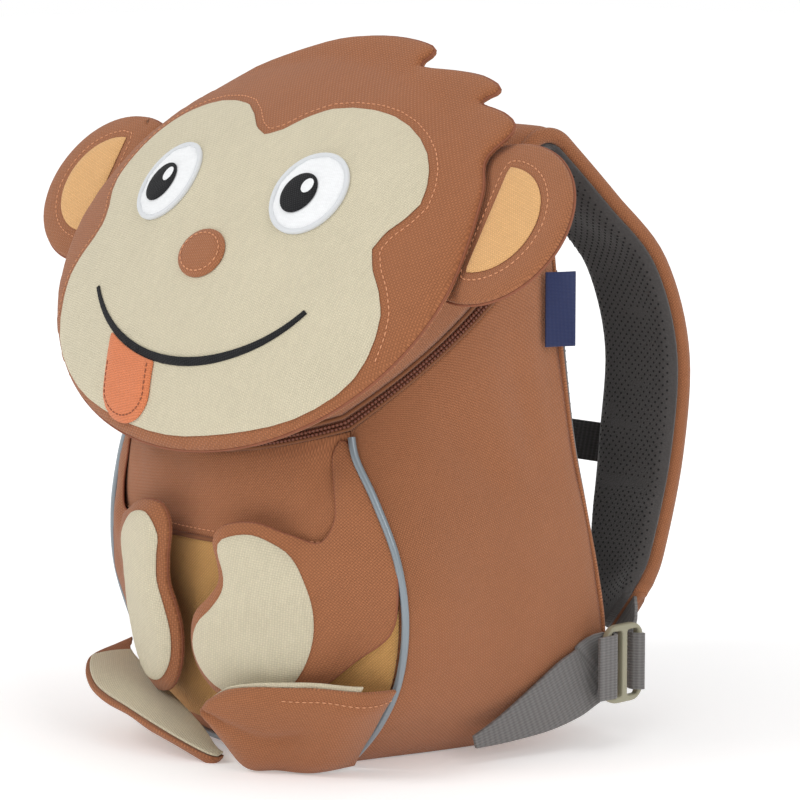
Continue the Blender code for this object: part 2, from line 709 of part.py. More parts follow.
def piping():
    """Reflective piping round the front panel's seam, up both sides and along the bottom."""
    spots = []
    reach = PIPING_RADIUS + GAP
    for step in range(20):
        row = TOP_ROW - 0.35 - step * (TOP_ROW - 0.35 - 1.0) / 20
        here = side_point(0.0, row)
        outward = Vector((0.70, -0.71, 0)) if row > 2 else Vector((0.64, -0.64, -0.42))
        spots.append(here + outward.normalized() * reach)
    for step in range(9):
        across = 0.98 - step * 0.98 / 8
        here = front_point(across, 1.0 - 0.12 * ease(step / 8))
        outward = mix(Vector((0.64, -0.64, -0.42)), Vector((0, -0.86, -0.5)), ease(step / 3))
        spots.append(here + outward.normalized() * (reach + 0.0002))
    spots += [Vector((-point.x, point.y, point.z)) for point in reversed(spots[:-1])]
    curve = bpy.data.curves.new("front_piping", "CURVE")
    curve.dimensions = "3D"
    curve.bevel_depth = PIPING_RADIUS
    curve.bevel_resolution = 2
    curve.use_fill_caps = True
    line = curve.splines.new("POLY")
    line.points.add(len(spots) - 1)
    for knot, spot in zip(line.points, spots):
        knot.co = (*spot, 1.0)
    made = bpy.data.objects.new("front_piping", curve)
    bpy.context.scene.collection.objects.link(made)
    curve.materials.append(material("front_piping", "piping grey", 0.3))


def head_outline():
    """Head panel outline: a wide round head with three hair tufts toward its left ear."""
    angles = [math.radians(degrees) for degrees in range(126, 367, 8)]
    shares = [(math.cos(angle), math.sin(angle)) for angle in angles] + HAIR
    return [(across * HEAD_WIDTH / 2, up * HEAD_HEIGHT / 2) for across, up in shares]


def circle(across, up, wide, high, count):
    """Points of an ellipse, turning left from its right end."""
    angles = [2 * math.pi * k / count for k in range(count)]
    return [(across + wide * math.cos(angle), up + high * math.sin(angle)) for angle in angles]


def face_outline():
    """Cream face: two round lobes over the eyes and a wide jaw."""
    half_wide, half_high = HEAD_WIDTH / 2, HEAD_HEIGHT / 2
    lobe, jaw = FACE_LOBE, FACE_JAW
    shapes = [(sign * lobe["out"], lobe["up"], lobe["wide"], lobe["high"]) for sign in (1, -1)]
    shapes.append((0.0, jaw["up"], jaw["wide"], jaw["high"]))
    outline = []
    for step in range(60):
        angle = 2 * math.pi * step / 60
        ray = Vector((math.cos(angle), math.sin(angle)))
        reach = 0.0
        for out, up, wide, high in shapes:
            near, far = 0.0, 1.6
            for _ in range(160):
                far -= 0.01
                spot = ray * far
                if ((spot.x - out) / wide) ** 2 + ((spot.y - up) / high) ** 2 <= 1:
                    near = far
                    break
            reach = max(reach, near)
        outline.append((ray.x * reach * half_wide, ray.y * reach * half_high))
    return outline


def head():
    """Head panel with its face: skins laid one over the other on the dome."""
    flap("head_front", head_outline(), head_point,
         lambda p, q, depth: dome(p, q) - HEAD_PAD,
         lambda p, q, depth: dome(p, q) - 0.0010 * (1 - min(1.0, depth / 0.004)), HEAD_MESH_STEP, "brown")
    face_low, face_high = SKIN_GAP, SKIN_GAP + SKIN
    flap("face_panel", face_outline(), head_point,
         lambda p, q, depth: dome(p, q) + face_low,
         lambda p, q, depth: dome(p, q) + face_high, HEAD_MESH_STEP, "cream")
    over = face_high + SKIN_GAP

    def skin(name, outline, low, step, colour, roughness=0.7, high=SKIN):
        return flap(name, outline, head_point, lambda p, q, depth: dome(p, q) + low,
                    lambda p, q, depth: dome(p, q) + low + high * (0.7 + 0.3 * min(1.0, depth / 0.002)),
                    step, colour, roughness)

    for side, sign in (("right", 1), ("left", -1)):
        across, up = sign * EYE["out"] * HEAD_WIDTH / 2, EYE["up"] * HEAD_HEIGHT / 2
        white = circle(across, up, EYE["radius"], EYE["radius"] * EYE["tall"], 28)
        skin("eye_white_" + side, white, over, 0.008, "white")
        radius = PUPIL["radius"]
        pupil = circle(across - PUPIL["inward"], up - PUPIL["down"], radius, radius * PUPIL["tall"], 20)
        skin("pupil_" + side, pupil, over + SKIN + SKIN_GAP, 0.006, "black")
    skin("nose", circle(0.0, NOSE["up"] * HEAD_HEIGHT / 2, NOSE["wide"], NOSE["high"], 22), over, 0.006,
         "brown", 0.85, 0.0022)

    # The smile is a narrow satin cord, and the tongue hangs from it.
    middle = MOUTH["up"] * HEAD_HEIGHT / 2
    sweep = MOUTH["end"] - MOUTH["start"]
    arc = []
    for ring, order in ((1, 1), (-1, -1)):
        for k in range(25)[::order]:
            angle = math.radians(MOUTH["start"] + sweep * k / 24)
            taper = 0.35 + 0.65 * math.sin(math.pi * (0.06 + 0.88 * k / 24))
            radius = MOUTH["radius"] + ring * MOUTH["thick"] * taper
            arc.append((radius * math.cos(angle), middle + radius * MOUTH["squash"] * math.sin(angle)))
    skin("mouth", arc, over, 0.006, "black", 0.35, 0.0013)
    root = MOUTH["radius"] * math.cos(math.radians(TONGUE["angle"]))
    tongue = []
    for k in range(7):
        across = root + TONGUE["wide"] * (1 - k / 3)
        drop = math.sqrt(MOUTH["radius"] ** 2 - across ** 2)
        tongue.append((across, middle - MOUTH["squash"] * drop - 1.6 * MOUTH["thick"]))
    low = min(up for across, up in tongue)
    for k in range(11):
        turn = math.radians(190 + 16 * k)
        tongue.append((root + TONGUE["wide"] * math.cos(turn),
                       low - TONGUE["long"] * (0.45 - 0.5 * math.sin(turn))))
    skin("tongue", tongue, over, 0.006, "coral", 0.8, 0.0022)


def ears():
    """Padded ears behind the rim of the head panel, with apricot inner patches."""
    for side, sign in (("right", 1), ("left", -1)):
        def outline(radius, start, count):
            loop = circle(EAR_OUT, EAR_UP, radius, radius * 0.92, count)
            loop = [(max(start, x), y) for x, y in loop]
            kept = [loop[0]]
            for spot in loop[1:]:
                if (Vector(spot) - Vector(kept[-1])).length > 0.002:
                    kept.append(spot)
            kept = [(sign * x, y) for x, y in kept]
            return kept if sign > 0 else kept[::-1]

        root = LID_RING_WIDTH / 2 + 0.0040
        front = -HEAD_PAD - GAP
        flap("ear_" + side, outline(EAR_RADIUS, root, 34), head_point,
             lambda p, q, depth: front - EAR_PAD * (0.72 + 0.28 * min(1.0, depth / 0.004)),
             lambda p, q, depth: front - EAR_PAD * 0.28 * (1 - min(1.0, depth / 0.004)),
             0.0100, "brown")
        flap("ear_inner_" + side, outline(EAR_RADIUS * 0.66, HEAD_WIDTH / 2 + 0.0012, 26), head_point,
             lambda p, q, depth: front + GAP, lambda p, q, depth: front + GAP + SKIN, 0.0100, "apricot")


def strap_frames():
    """Places, route directions, width directions, outward directions and widths along the strap."""
    root = STRAP_ROUTE[0]
    under = [root.x * HALF_WIDTH + share * STRAP_WIDTH for share in (-0.5, 0.0, 0.5)]
    back = max(wall_place(back_point, across, root.z * BODY_HEIGHT, 0.0).y for across in under)
    start = back + SKIN_GAP + STRAP_OUTER
    spots = []
    last = len(STRAP_ROUTE) - 1
    for step in range(STRAP_SECTIONS + 1):
        cut = smooth_row(STRAP_ROUTE, last * step / STRAP_SECTIONS)
        reach = start + cut.reach * STRAP_REACH
        spots.append((Vector((cut.x * HALF_WIDTH, reach, cut.z * BODY_HEIGHT)), cut))
    frames = []
    for k, (spot, cut) in enumerate(spots):
        run = (spots[min(k + 1, STRAP_SECTIONS)][0] - spots[max(k - 1, 0)][0]).normalized()
        square = cut.roll / STRAP_ROUTE[-1].roll
        across = Vector((1, 0, 0))
        across = (across - run * run.x * square).normalized()
        outward = across.cross(run).normalized()
        roll = math.radians(cut.roll)
        turned = across * math.cos(roll) - outward * math.sin(roll)
        faced = outward * math.cos(roll) + across * math.sin(roll)
        frames.append((spot, run, turned, faced, cut.width * STRAP_WIDTH))
    return frames


def sweep(name, sections, colour, roughness=0.85):
    """Closed solid through a run of like closed sections."""
    count = len(sections[0])
    points = [point for section in sections for point in section]
    faces = [tuple(range(count)), tuple((len(sections) - 1) * count + k for k in range(count - 1, -1, -1))]
    for index in range(len(sections) - 1):
        low, high = index * count, (index + 1) * count
        for k in range(count):
            nxt = (k + 1) % count
            faces.append((low + nxt, low + k, high + k, high + nxt))
    return solid(name, points, faces, colour, roughness)


def mirrored(point, sign):
    """Point on the right side for sign 1 and on the left for sign -1."""
    return Vector((sign * point.x, point.y, point.z))


def straps():
    """Shoulder straps, their mesh linings and the chest strap on them."""
    frames = strap_frames()
    split = STRAP_OUTER - STRAP_PAD
    for side, sign in (("right", 1), ("left", -1)):
        body, lining = [], []
        for spot, run, across, outward, width in frames:
            half = width / 2
            shell = [(-half, split), (-half, STRAP_OUTER - STRAP_ROUND), (-half + STRAP_BEVEL, STRAP_OUTER),
                     (half - STRAP_BEVEL, STRAP_OUTER), (half, STRAP_OUTER - STRAP_ROUND), (half, split),
                     (half / 3, split), (-half / 3, split)]
            body.append([mirrored(spot + across * a + outward * b, sign) for a, b in shell])
            inner = half - LINING_MARGIN
            top, bottom = split - SKIN_GAP, split - SKIN_GAP - LINING_PAD
            pad = [(-inner, top), (-half / 3, top), (half / 3, top), (inner, top),
                   (inner, bottom + LINING_ROUND), (inner - LINING_BEVEL, bottom),
                   (-inner + LINING_BEVEL, bottom), (-inner, bottom + LINING_ROUND)]
            lining.append([mirrored(spot + across * a + outward * b, sign) for a, b in pad])
        sweep("shoulder_strap_" + side, body, "brown")
        sweep("strap_lining_" + side, lining, "mesh grey", 0.95)

    # The chest strap is stitched on the outer face of both straps.
    spot, run, across, outward, width = frames[round(STRAP_SECTIONS * CHEST_PLACE)]
    lift = STRAP_OUTER + GAP + WEB_THICKNESS / 2
    clasp_end = CHEST_CLASP_WIDTH / 2 + SKIN_GAP
    for side, sign in (("right", 1), ("left", -1)):
        path = [spot + across * share * width / 2 + outward * lift for share in (0.8, 0.3, -0.3, -0.9)]
        last = path[-1]
        path += [mix(last, Vector((clasp_end, last.y, last.z)), share) for share in (0.3, 0.65, 1.0)]
        ribbon("chest_strap_" + side, [mirrored(point, sign) for point in path],
               [mirrored(run, sign)] * len(path), [CHEST_WEB_WIDTH / 2] * len(path), "charcoal")
    block("chest_clasp", Vector((0, last.y, last.z)), (Vector((1, 0, 0)), run, outward),
          (CHEST_CLASP_WIDTH, CHEST_CLASP_HEIGHT, CHEST_CLASP_DEPTH), "charcoal", 0.45)


def ribbon(name, path, widths, halves, colour, square=1.0, thickness=WEB_THICKNESS):
    """Webbing along a path with a width direction and half width at each point, squared to the path."""
    sections = []
    for k, spot in enumerate(path):
        run = (path[min(k + 1, len(path) - 1)] - path[max(k - 1, 0)]).normalized()
        across = (widths[k] - run * widths[k].dot(run) * square).normalized()
        out = run.cross(across).normalized() * thickness / 2
        wide = across * halves[k]
        sections.append([spot + wide + out, spot - wide + out, spot - wide - out, spot + wide - out])
    return sweep(name, sections, colour)


def buckle_centre():
    """Middle of the right ladder buckle."""
    x, y, z = BUCKLE_PLACE
    return Vector((x * HALF_WIDTH, y * BODY_DEPTH, z * BODY_HEIGHT))


def buckles():
    """Ladder buckles with their hem webbing and the webbing from the strap ends."""
    centre = buckle_centre()
    near_bar = centre.y - BUCKLE_LENGTH / 2 + BUCKLE_BAR / 2
    far_bar = centre.y + BUCKLE_LENGTH / 2 - BUCKLE_BAR / 2
    loop = BUCKLE_THICKNESS / 2 + BAR_CLEARANCE + WEB_THICKNESS / 2
    wrap = BUCKLE_BAR / 2 + BAR_CLEARANCE + WEB_THICKNESS / 2
    upright = Vector((0, 0, 1))
    half_web = WEB_WIDTH / 2
    for side, sign in (("right", 1), ("left", -1)):
        frame = buckle_frame(centre)
        points = [mirrored(point, sign) for point in frame[0]]
        solid("ladder_buckle_" + side, points, frame[1], "khaki", 0.45)

        # Hem webbing: up the side edge, through the buckle, round its near bar and back.
        path, halves = [], []
        for row in ANCHOR_ROUTE:
            path.append(Vector((row.x * HALF_WIDTH, row.y * BODY_DEPTH, row.z * BODY_HEIGHT)))
            halves.append(row.width * half_web)
        for degrees in HEM_TURN:
            out, along = loop * math.sin(math.radians(degrees)), wrap * math.cos(math.radians(degrees))
            path.append(Vector((centre.x + out, near_bar + along, centre.z)))
            halves.append(half_web)
        path.append(Vector((centre.x + loop * 0.86, near_bar - wrap - HEM_TAIL, centre.z)))
        halves.append(half_web)
        ribbon("hem_web_" + side, [mirrored(point, sign) for point in path], [upright] * len(path), halves,
               "web grey")

        # Strap webbing: from the strap's end down to the far bar and round it.
        spot, run, across, outward, width = strap_frames()[-1]
        path = [spot + run * GAP, spot + run * 3 * BAR_CLEARANCE]
        turns = [across, across]
        bar_side = Vector((centre.x - loop, far_bar + 0.002, centre.z))
        for share in (0.35, 0.7):
            path.append(mix(path[1], bar_side, share))
            turns.append(mix(across, upright, share))
        for degrees in STRAP_WEB_TURN:
            out, along = loop * math.sin(math.radians(degrees)), wrap * math.cos(math.radians(degrees))
            path.append(Vector((centre.x + out, far_bar + along, centre.z)))
            turns.append(upright)
        halves = [half_web * 0.9] * len(path)
        ribbon("strap_web_" + side, [mirrored(point, sign) for point in path],
               [mirrored(turn, sign) for turn in turns], halves, "web grey", square=0.0)


def buckle_frame(centre):
    """Points and faces of a ladder buckle: a frame with three upright bars."""
    half_long, half_high, half_thick = BUCKLE_LENGTH / 2, BUCKLE_HEIGHT / 2, BUCKLE_THICKNESS / 2
    rail = (BUCKLE_HEIGHT - WEB_WIDTH) / 2 - 2 * GAP
    bar = BUCKLE_BAR
    slot = (BUCKLE_LENGTH - 3 * bar) / 2
    ys = [-half_long, -half_long + bar, -half_long + bar + slot]
    ys += [-y for y in reversed(ys)]
    zs = [-half_high, -half_high + rail, half_high - rail, half_high]
    points = []
    for out in (-half_thick, half_thick):
        points += [centre + Vector((out, y, z)) for z in zs for y in ys]
    layer = len(ys) * len(zs)
    open_cells = {(1, 1), (3, 1)}
    faces = []

    def filled(column, row):
        within = 0 <= column < len(ys) - 1 and 0 <= row < len(zs) - 1
        return within and (column, row) not in open_cells

    for column in range(len(ys) - 1):
        for row in range(len(zs) - 1):
            if not filled(column, row):
                continue
            a = row * len(ys) + column
            quad = (a, a + 1, a + 1 + len(ys), a + len(ys))
            faces.append(quad)
            faces.append(tuple(layer + corner for corner in reversed(quad)))
            sides = (((column, row - 1), quad[0], quad[1]), ((column + 1, row), quad[1], quad[2]),
                     ((column, row + 1), quad[2], quad[3]), ((column - 1, row), quad[3], quad[0]))
            for neighbour, start, end in sides:
                if not filled(*neighbour):
                    faces.append((end, start, layer + start, layer + end))
    return points, faces


def label():
    """Bare navy label folded into the seam at the back of the right side."""
    seam = side_point(*LABEL_PLACE)
    outward = Vector((0.42, 0.90, 0.0)).normalized()
    thick = Vector((0.90, -0.42, 0.0)).normalized()
    centre = seam + outward * (LABEL_WIDTH / 2 - LABEL_TUCK) + thick * LABEL_STAND
    block("side_label", centre, (outward, Vector((0, 0, 1)), thick),
          (LABEL_WIDTH, LABEL_HEIGHT, LABEL_THICKNESS), "navy", 0.5, 0.05)


def main():
    """Build every piece of the bag."""
    clear_scene()
    body_and_lid()
    head()
    ears()
    belly()
    arms()
    feet()
    back_pad()
    piping()
    straps()
    buckles()
    label()


main()
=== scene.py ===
# %% [markdown]
# # A small backpack sewn as a seated monkey
#
# The real bag is soft: woven polyester panels meet at seams, thin foam fills the head, ears, hands and
# straps, and a coil zip joins the head to the body. This lesson builds each cloth piece as a closed wall
# over a surface given by a formula, then lays stitches, zip teeth and mesh holes on it with Geometry
# Nodes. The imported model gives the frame, so each piece here stands for one of its solids.

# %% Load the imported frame
import math
from collections import namedtuple

import bmesh
import bpy
from mathutils import Matrix, Vector, noise
from mathutils.geometry import delaunay_2d_cdt


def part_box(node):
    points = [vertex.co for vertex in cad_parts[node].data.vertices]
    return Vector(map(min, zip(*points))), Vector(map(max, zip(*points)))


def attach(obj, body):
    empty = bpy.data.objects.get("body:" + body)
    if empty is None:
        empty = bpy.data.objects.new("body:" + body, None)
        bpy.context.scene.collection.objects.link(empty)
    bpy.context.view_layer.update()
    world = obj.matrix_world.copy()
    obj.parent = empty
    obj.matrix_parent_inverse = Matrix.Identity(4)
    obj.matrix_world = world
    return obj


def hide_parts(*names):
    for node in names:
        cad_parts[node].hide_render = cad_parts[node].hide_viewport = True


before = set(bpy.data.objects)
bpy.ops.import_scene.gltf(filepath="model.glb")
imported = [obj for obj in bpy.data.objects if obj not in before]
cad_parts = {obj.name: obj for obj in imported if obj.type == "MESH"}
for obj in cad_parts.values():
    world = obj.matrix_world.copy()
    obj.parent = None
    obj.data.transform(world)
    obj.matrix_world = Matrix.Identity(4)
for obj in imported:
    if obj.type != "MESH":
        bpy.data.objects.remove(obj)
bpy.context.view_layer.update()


# %% Objects and nodes
def linked(name, data):
    """New object of some data, linked to the scene."""
    made = bpy.data.objects.new(name, data)
    bpy.context.scene.collection.objects.link(made)
    return made


def wire(tree, node, inputs):
    """Set a node's inputs to values, or link them to sockets."""
    for key, value in inputs.items():
        if isinstance(value, bpy.types.NodeSocket):
            tree.links.new(value, node.inputs[key])
        else:
            node.inputs[key].default_value = value


def add_node(tree, kind, inputs=None, **traits):
    """New node with its traits, and its inputs set or linked."""
    node = tree.nodes.new(kind)
    for trait, value in traits.items():
        setattr(node, trait, value)
    wire(tree, node, inputs or {})
    return node


# %% [markdown]
# ## Camera, floor and light
#
# A product photograph of this kind is taken from a little above the bag, with a long lens. The camera is
# placed by two angles and a distance, and slid sideways in its own plane until the bag sits where the
# frame of the photograph has it. Large soft lamps on both sides keep the shadows weak.

# %% Camera
CAMERA_TURN = math.radians(46.0)
CAMERA_RISE = math.radians(8.0)
CAMERA_DISTANCE = 1.5
FRAME_SIDE = 0.320
SENSOR_WIDTH = 36.0
BASE_PLACE = (-0.0188, -0.1304)

right = Vector((math.cos(CAMERA_TURN), math.sin(CAMERA_TURN), 0))
back = Vector((math.sin(CAMERA_TURN) * math.cos(CAMERA_RISE),
               -math.cos(CAMERA_TURN) * math.cos(CAMERA_RISE), math.sin(CAMERA_RISE)))
up = back.cross(right)
eye = back * CAMERA_DISTANCE - right * BASE_PLACE[0] - up * BASE_PLACE[1]
lens = bpy.data.cameras.new("photo_camera")
lens.lens = SENSOR_WIDTH * CAMERA_DISTANCE / FRAME_SIDE
camera = linked("photo_camera", lens)
camera.matrix_world = Matrix.Translation(eye) @ Matrix((right, up, back)).transposed().to_4x4()
bpy.context.scene.camera = camera
bpy.context.scene.view_settings.view_transform = "Standard"
print("camera at", [round(value, 3) for value in eye])

# %% Floor and lamps
FLOOR_SIDE = 6.0
FLOOR_COLOUR = (0.93, 0.93, 0.93, 1)
GLOW_REACH = (0.15, 1.10)
GLOW_LEVELS = (0.27, 0.56)
WORLD_LEVEL = 0.55
WORLD_SEEN_EXTRA = 0.45
LAMPS = [
    ("key_lamp", (-0.55, -1.30, 1.25), (0, 0, 0.12), 0.8, 10),
    ("side_lamp", (1.70, -0.35, 0.80), (0, 0, 0.14), 0.9, 7),
    ("top_lamp", (0.2, 0.3, 1.6), (0, 0, 0.1), 0.9, 5),
]


def lamp(name, place, target, size, watts):
    """Square soft lamp that looks at a target."""
    light = bpy.data.lights.new(name, "AREA")
    light.size = size
    light.energy = watts
    made = linked(name, light)
    made.location = place
    made.rotation_euler = (Vector(target) - Vector(place)).to_track_quat("-Z", "Y").to_euler()


def studio():
    """Pale flat floor that glows more farther out, a pale world and the lamps."""
    mesh = bpy.data.meshes.new("studio_floor")
    corners = [(x * FLOOR_SIDE, y * FLOOR_SIDE, 0) for x, y in ((-1, -1), (1, -1), (1, 1), (-1, 1))]
    mesh.from_pydata(corners, [], [(0, 1, 2, 3)])
    floor = linked("studio_floor", mesh)
    paint = bpy.data.materials.new("studio_floor")
    paint.use_nodes = True
    tree = paint.node_tree
    coords = add_node(tree, "ShaderNodeTexCoord")
    far = add_node(tree, "ShaderNodeVectorMath", {0: coords.outputs["Object"]}, operation="LENGTH")
    glow = add_node(tree, "ShaderNodeMapRange", {
        "From Min": GLOW_REACH[0], "From Max": GLOW_REACH[1], "To Min": GLOW_LEVELS[0],
        "To Max": GLOW_LEVELS[1], "Value": far.outputs["Value"]})
    wire(tree, tree.nodes["Principled BSDF"], {
        "Base Color": FLOOR_COLOUR, "Roughness": 0.9, "Emission Color": (1, 1, 1, 1),
        "Emission Strength": glow.outputs[0]})
    mesh.materials.append(paint)
    world = bpy.data.worlds.new("studio")
    bpy.context.scene.world = world
    world.use_nodes = True
    tree = world.node_tree
    seen = add_node(tree, "ShaderNodeLightPath").outputs["Is Camera Ray"]
    light = add_node(tree, "ShaderNodeMath", {0: seen, 1: WORLD_SEEN_EXTRA, 2: WORLD_LEVEL},
                     operation="MULTIPLY_ADD")
    wire(tree, tree.nodes["Background"], {"Color": (1, 1, 1, 1), "Strength": light.outputs[0]})
    for values in LAMPS:
        lamp(*values)


studio()

# %% [markdown]
# ## Sizes and tables
#
# The sizes and the tables are those of the solid model, so both models share one shape. The
# rows of a table are shares of the named sizes, and a smooth curve runs through them.

# %% Sizes
# Driving sizes of the bag body
BODY_WIDTH = 0.172
BODY_DEPTH = 0.110
BODY_HEIGHT = 0.205
GAP = 0.0003
SKIN_GAP = 0.0007
BAR_CLEARANCE = 0.0013
FRONT_STEPS = 36
SIDE_STEPS = 28
BACK_STEPS = 24

# Driving sizes of the head, which is the lid
HEAD_WIDTH = 0.216
HEAD_HEIGHT = 0.168
HEAD_CROWN = 0.022
HEAD_PAD = 0.0050
HEAD_TILT = math.radians(32.0)
HEAD_SETBACK = 0.052
HEAD_LIFT = 0.195
LID_RING_WIDTH = 0.178
LID_RING_HEIGHT = 0.146
LID_FRONT_TURN = math.radians(48.0)
ZIP_WIDTH = 0.0085
ZIP_SEAM = 0.0016
ZIP_TAPER = 0.25
SKIN = 0.0010

# Driving sizes of ears, arms, feet, belly, back pad and piping
EAR_RADIUS = 0.036
EAR_PAD = 0.0070
EAR_OUT = 0.110
EAR_UP = 0.024
ARM_PAD = 0.0034
ARM_SEAM = 0.0012
ARM_LIFT = 0.0080
FOOT_PAD = 0.0040
BACK_PAD = 0.0065
PIPING_RADIUS = 0.0015

# Driving sizes of the straps and their fittings
STRAP_WIDTH = 0.042
STRAP_REACH = 0.0552
STRAP_PAD = 0.0060
LINING_PAD = 0.0027
WEB_WIDTH = 0.025
WEB_THICKNESS = 0.0014
BUCKLE_LENGTH = 0.021
BUCKLE_HEIGHT = 0.031
BUCKLE_THICKNESS = 0.0032
BUCKLE_BAR = 0.0030
HEM_TAIL = 0.0040
CHEST_PLACE = 0.77
CHEST_WEB_WIDTH = 0.016
CHEST_CLASP_WIDTH = 0.026
CHEST_CLASP_HEIGHT = 0.021
CHEST_CLASP_DEPTH = 0.0075
LABEL_WIDTH = 0.0125
LABEL_HEIGHT = 0.029
LABEL_THICKNESS = 0.0009
LABEL_TUCK = 0.0030
LABEL_STAND = 0.0042
LABEL_PLACE = (0.93, 7.32)

HALF_WIDTH = BODY_WIDTH / 2
STRAP_OUTER = STRAP_PAD * 0.75
SIDES = (("right", 1), ("left", -1))

# %% Section tables
# Body sections from the floor up. x columns are shares of half the width, y, belly and back_bow
# shares of the depth, z, drop and rise shares of the height, side_bow of half the width.
Section = namedtuple(
    "Section", "front_x front_y front_z belly drop side_bow back_x back_y back_z back_bow rise")
SECTIONS = [
    Section(0.49, -0.420, 0.000, 0.05, 0.000, 0.03, 0.700, 0.200, 0.000, 0.01, 0.000),
    Section(0.60, -0.435, 0.024, 0.11, 0.000, 0.04, 0.860, 0.365, 0.049, 0.02, 0.000),
    Section(0.77, -0.435, 0.098, 0.18, 0.000, 0.05, 0.975, 0.470, 0.127, 0.02, 0.000),
    Section(0.885, -0.435, 0.185, 0.23, 0.000, 0.05, 1.000, 0.500, 0.205, 0.02, 0.000),
    Section(0.965, -0.465, 0.300, 0.245, 0.000, 0.05, 0.990, 0.475, 0.320, 0.02, 0.000),
    Section(0.945, -0.490, 0.415, 0.245, 0.000, 0.05, 0.960, 0.435, 0.450, 0.02, 0.000),
    Section(0.85, -0.520, 0.520, 0.225, 0.005, 0.07, 0.930, 0.390, 0.585, 0.03, 0.010),
    Section(0.755, -0.540, 0.595, 0.215, 0.020, 0.10, 0.895, 0.355, 0.780, 0.05, 0.030),
    Section(0.71, -0.530, 0.645, 0.220, 0.055, 0.12, 0.860, 0.330, 1.000, 0.09, 0.083),
]
TOP_ROW = len(SECTIONS) - 1

# Arm and palm outlines on the front, x as a share of half the body width, z of its height.
RIGHT_ARM = [
    (0.70, 0.625), (0.78, 0.520), (0.86, 0.430), (0.885, 0.345), (0.825, 0.275), (0.725, 0.222),
    (0.60, 0.175), (0.48, 0.146), (0.36, 0.134), (0.24, 0.136), (0.12, 0.155), (0.055, 0.195),
    (0.035, 0.248), (0.080, 0.300), (0.175, 0.335), (0.230, 0.365), (0.228, 0.402), (0.215, 0.440),
    (0.270, 0.468), (0.40, 0.474), (0.52, 0.455), (0.61, 0.440), (0.67, 0.446), (0.70, 0.485),
    (0.69, 0.540), (0.665, 0.600),
]
RIGHT_PALM = [
    (0.276, 0.445), (0.39, 0.455), (0.492, 0.437), (0.550, 0.416), (0.592, 0.386), (0.617, 0.341),
    (0.618, 0.295), (0.590, 0.250), (0.540, 0.209), (0.470, 0.177), (0.365, 0.158), (0.250, 0.158),
    (0.145, 0.178), (0.085, 0.212), (0.070, 0.250), (0.118, 0.288), (0.205, 0.320), (0.262, 0.352),
    (0.268, 0.385), (0.250, 0.420),
]
LEFT_ARM = [
    (0.70, 0.625), (0.78, 0.520), (0.86, 0.430), (0.885, 0.345), (0.83, 0.270), (0.75, 0.215),
    (0.63, 0.165), (0.48, 0.132), (0.32, 0.122), (0.17, 0.142), (0.075, 0.190), (0.035, 0.250),
    (0.050, 0.305), (0.080, 0.350), (0.060, 0.400), (0.030, 0.450), (0.080, 0.492), (0.22, 0.490),
    (0.38, 0.462), (0.52, 0.438), (0.64, 0.440), (0.70, 0.480), (0.69, 0.540), (0.665, 0.600),
]
LEFT_PALM = [
    (0.135, 0.474), (0.28, 0.462), (0.38, 0.425), (0.43, 0.375), (0.46, 0.315), (0.48, 0.260),
    (0.48, 0.205), (0.41, 0.165), (0.30, 0.150), (0.18, 0.165), (0.100, 0.203), (0.070, 0.252),
    (0.085, 0.305), (0.115, 0.352), (0.095, 0.400), (0.072, 0.440),
]
ARM_OUTLINES = {"right": (RIGHT_ARM, RIGHT_PALM), "left": (LEFT_ARM, LEFT_PALM)}

# Feet as slanted sheets between a far edge at the body and a near edge, x as shares of half the
# width, y of the depth and z of the height.
FootRow = namedtuple("FootRow", "far_x far_y far_z near_x near_y near_z")
RIGHT_FOOT = [
    FootRow(0.900, -0.467, 0.172, 0.635, -0.467, 0.014),
    FootRow(0.86, -0.600, 0.175, 0.56, -0.610, 0.006),
    FootRow(0.70, -0.680, 0.178, 0.42, -0.665, 0.006),
    FootRow(0.59, -0.755, 0.178, 0.32, -0.735, 0.010),
    FootRow(0.47, -0.815, 0.176, 0.26, -0.800, 0.058),
    FootRow(0.35, -0.850, 0.166, 0.22, -0.845, 0.098),
    FootRow(0.25, -0.860, 0.142, 0.20, -0.862, 0.122),
]
LEFT_FOOT = [
    FootRow(-0.888, -0.460, 0.160, -0.910, -0.515, 0.150),
    FootRow(-0.78, -0.530, 0.140, -0.82, -0.710, 0.140),
    FootRow(-0.52, -0.595, 0.112, -0.58, -0.850, 0.112),
    FootRow(-0.28, -0.645, 0.085, -0.31, -0.860, 0.082),
    FootRow(-0.07, -0.680, 0.053, -0.07, -0.830, 0.048),
    FootRow(0.07, -0.710, 0.024, 0.09, -0.775, 0.020),
    FootRow(0.12, -0.705, 0.014, 0.13, -0.735, 0.013),
]

# Far and near line of each sole, as places between its foot's far edge, 0, and near edge, 1.
SOLES = {"right": (-0.04, 0.88), "left": (0.02, 0.93)}

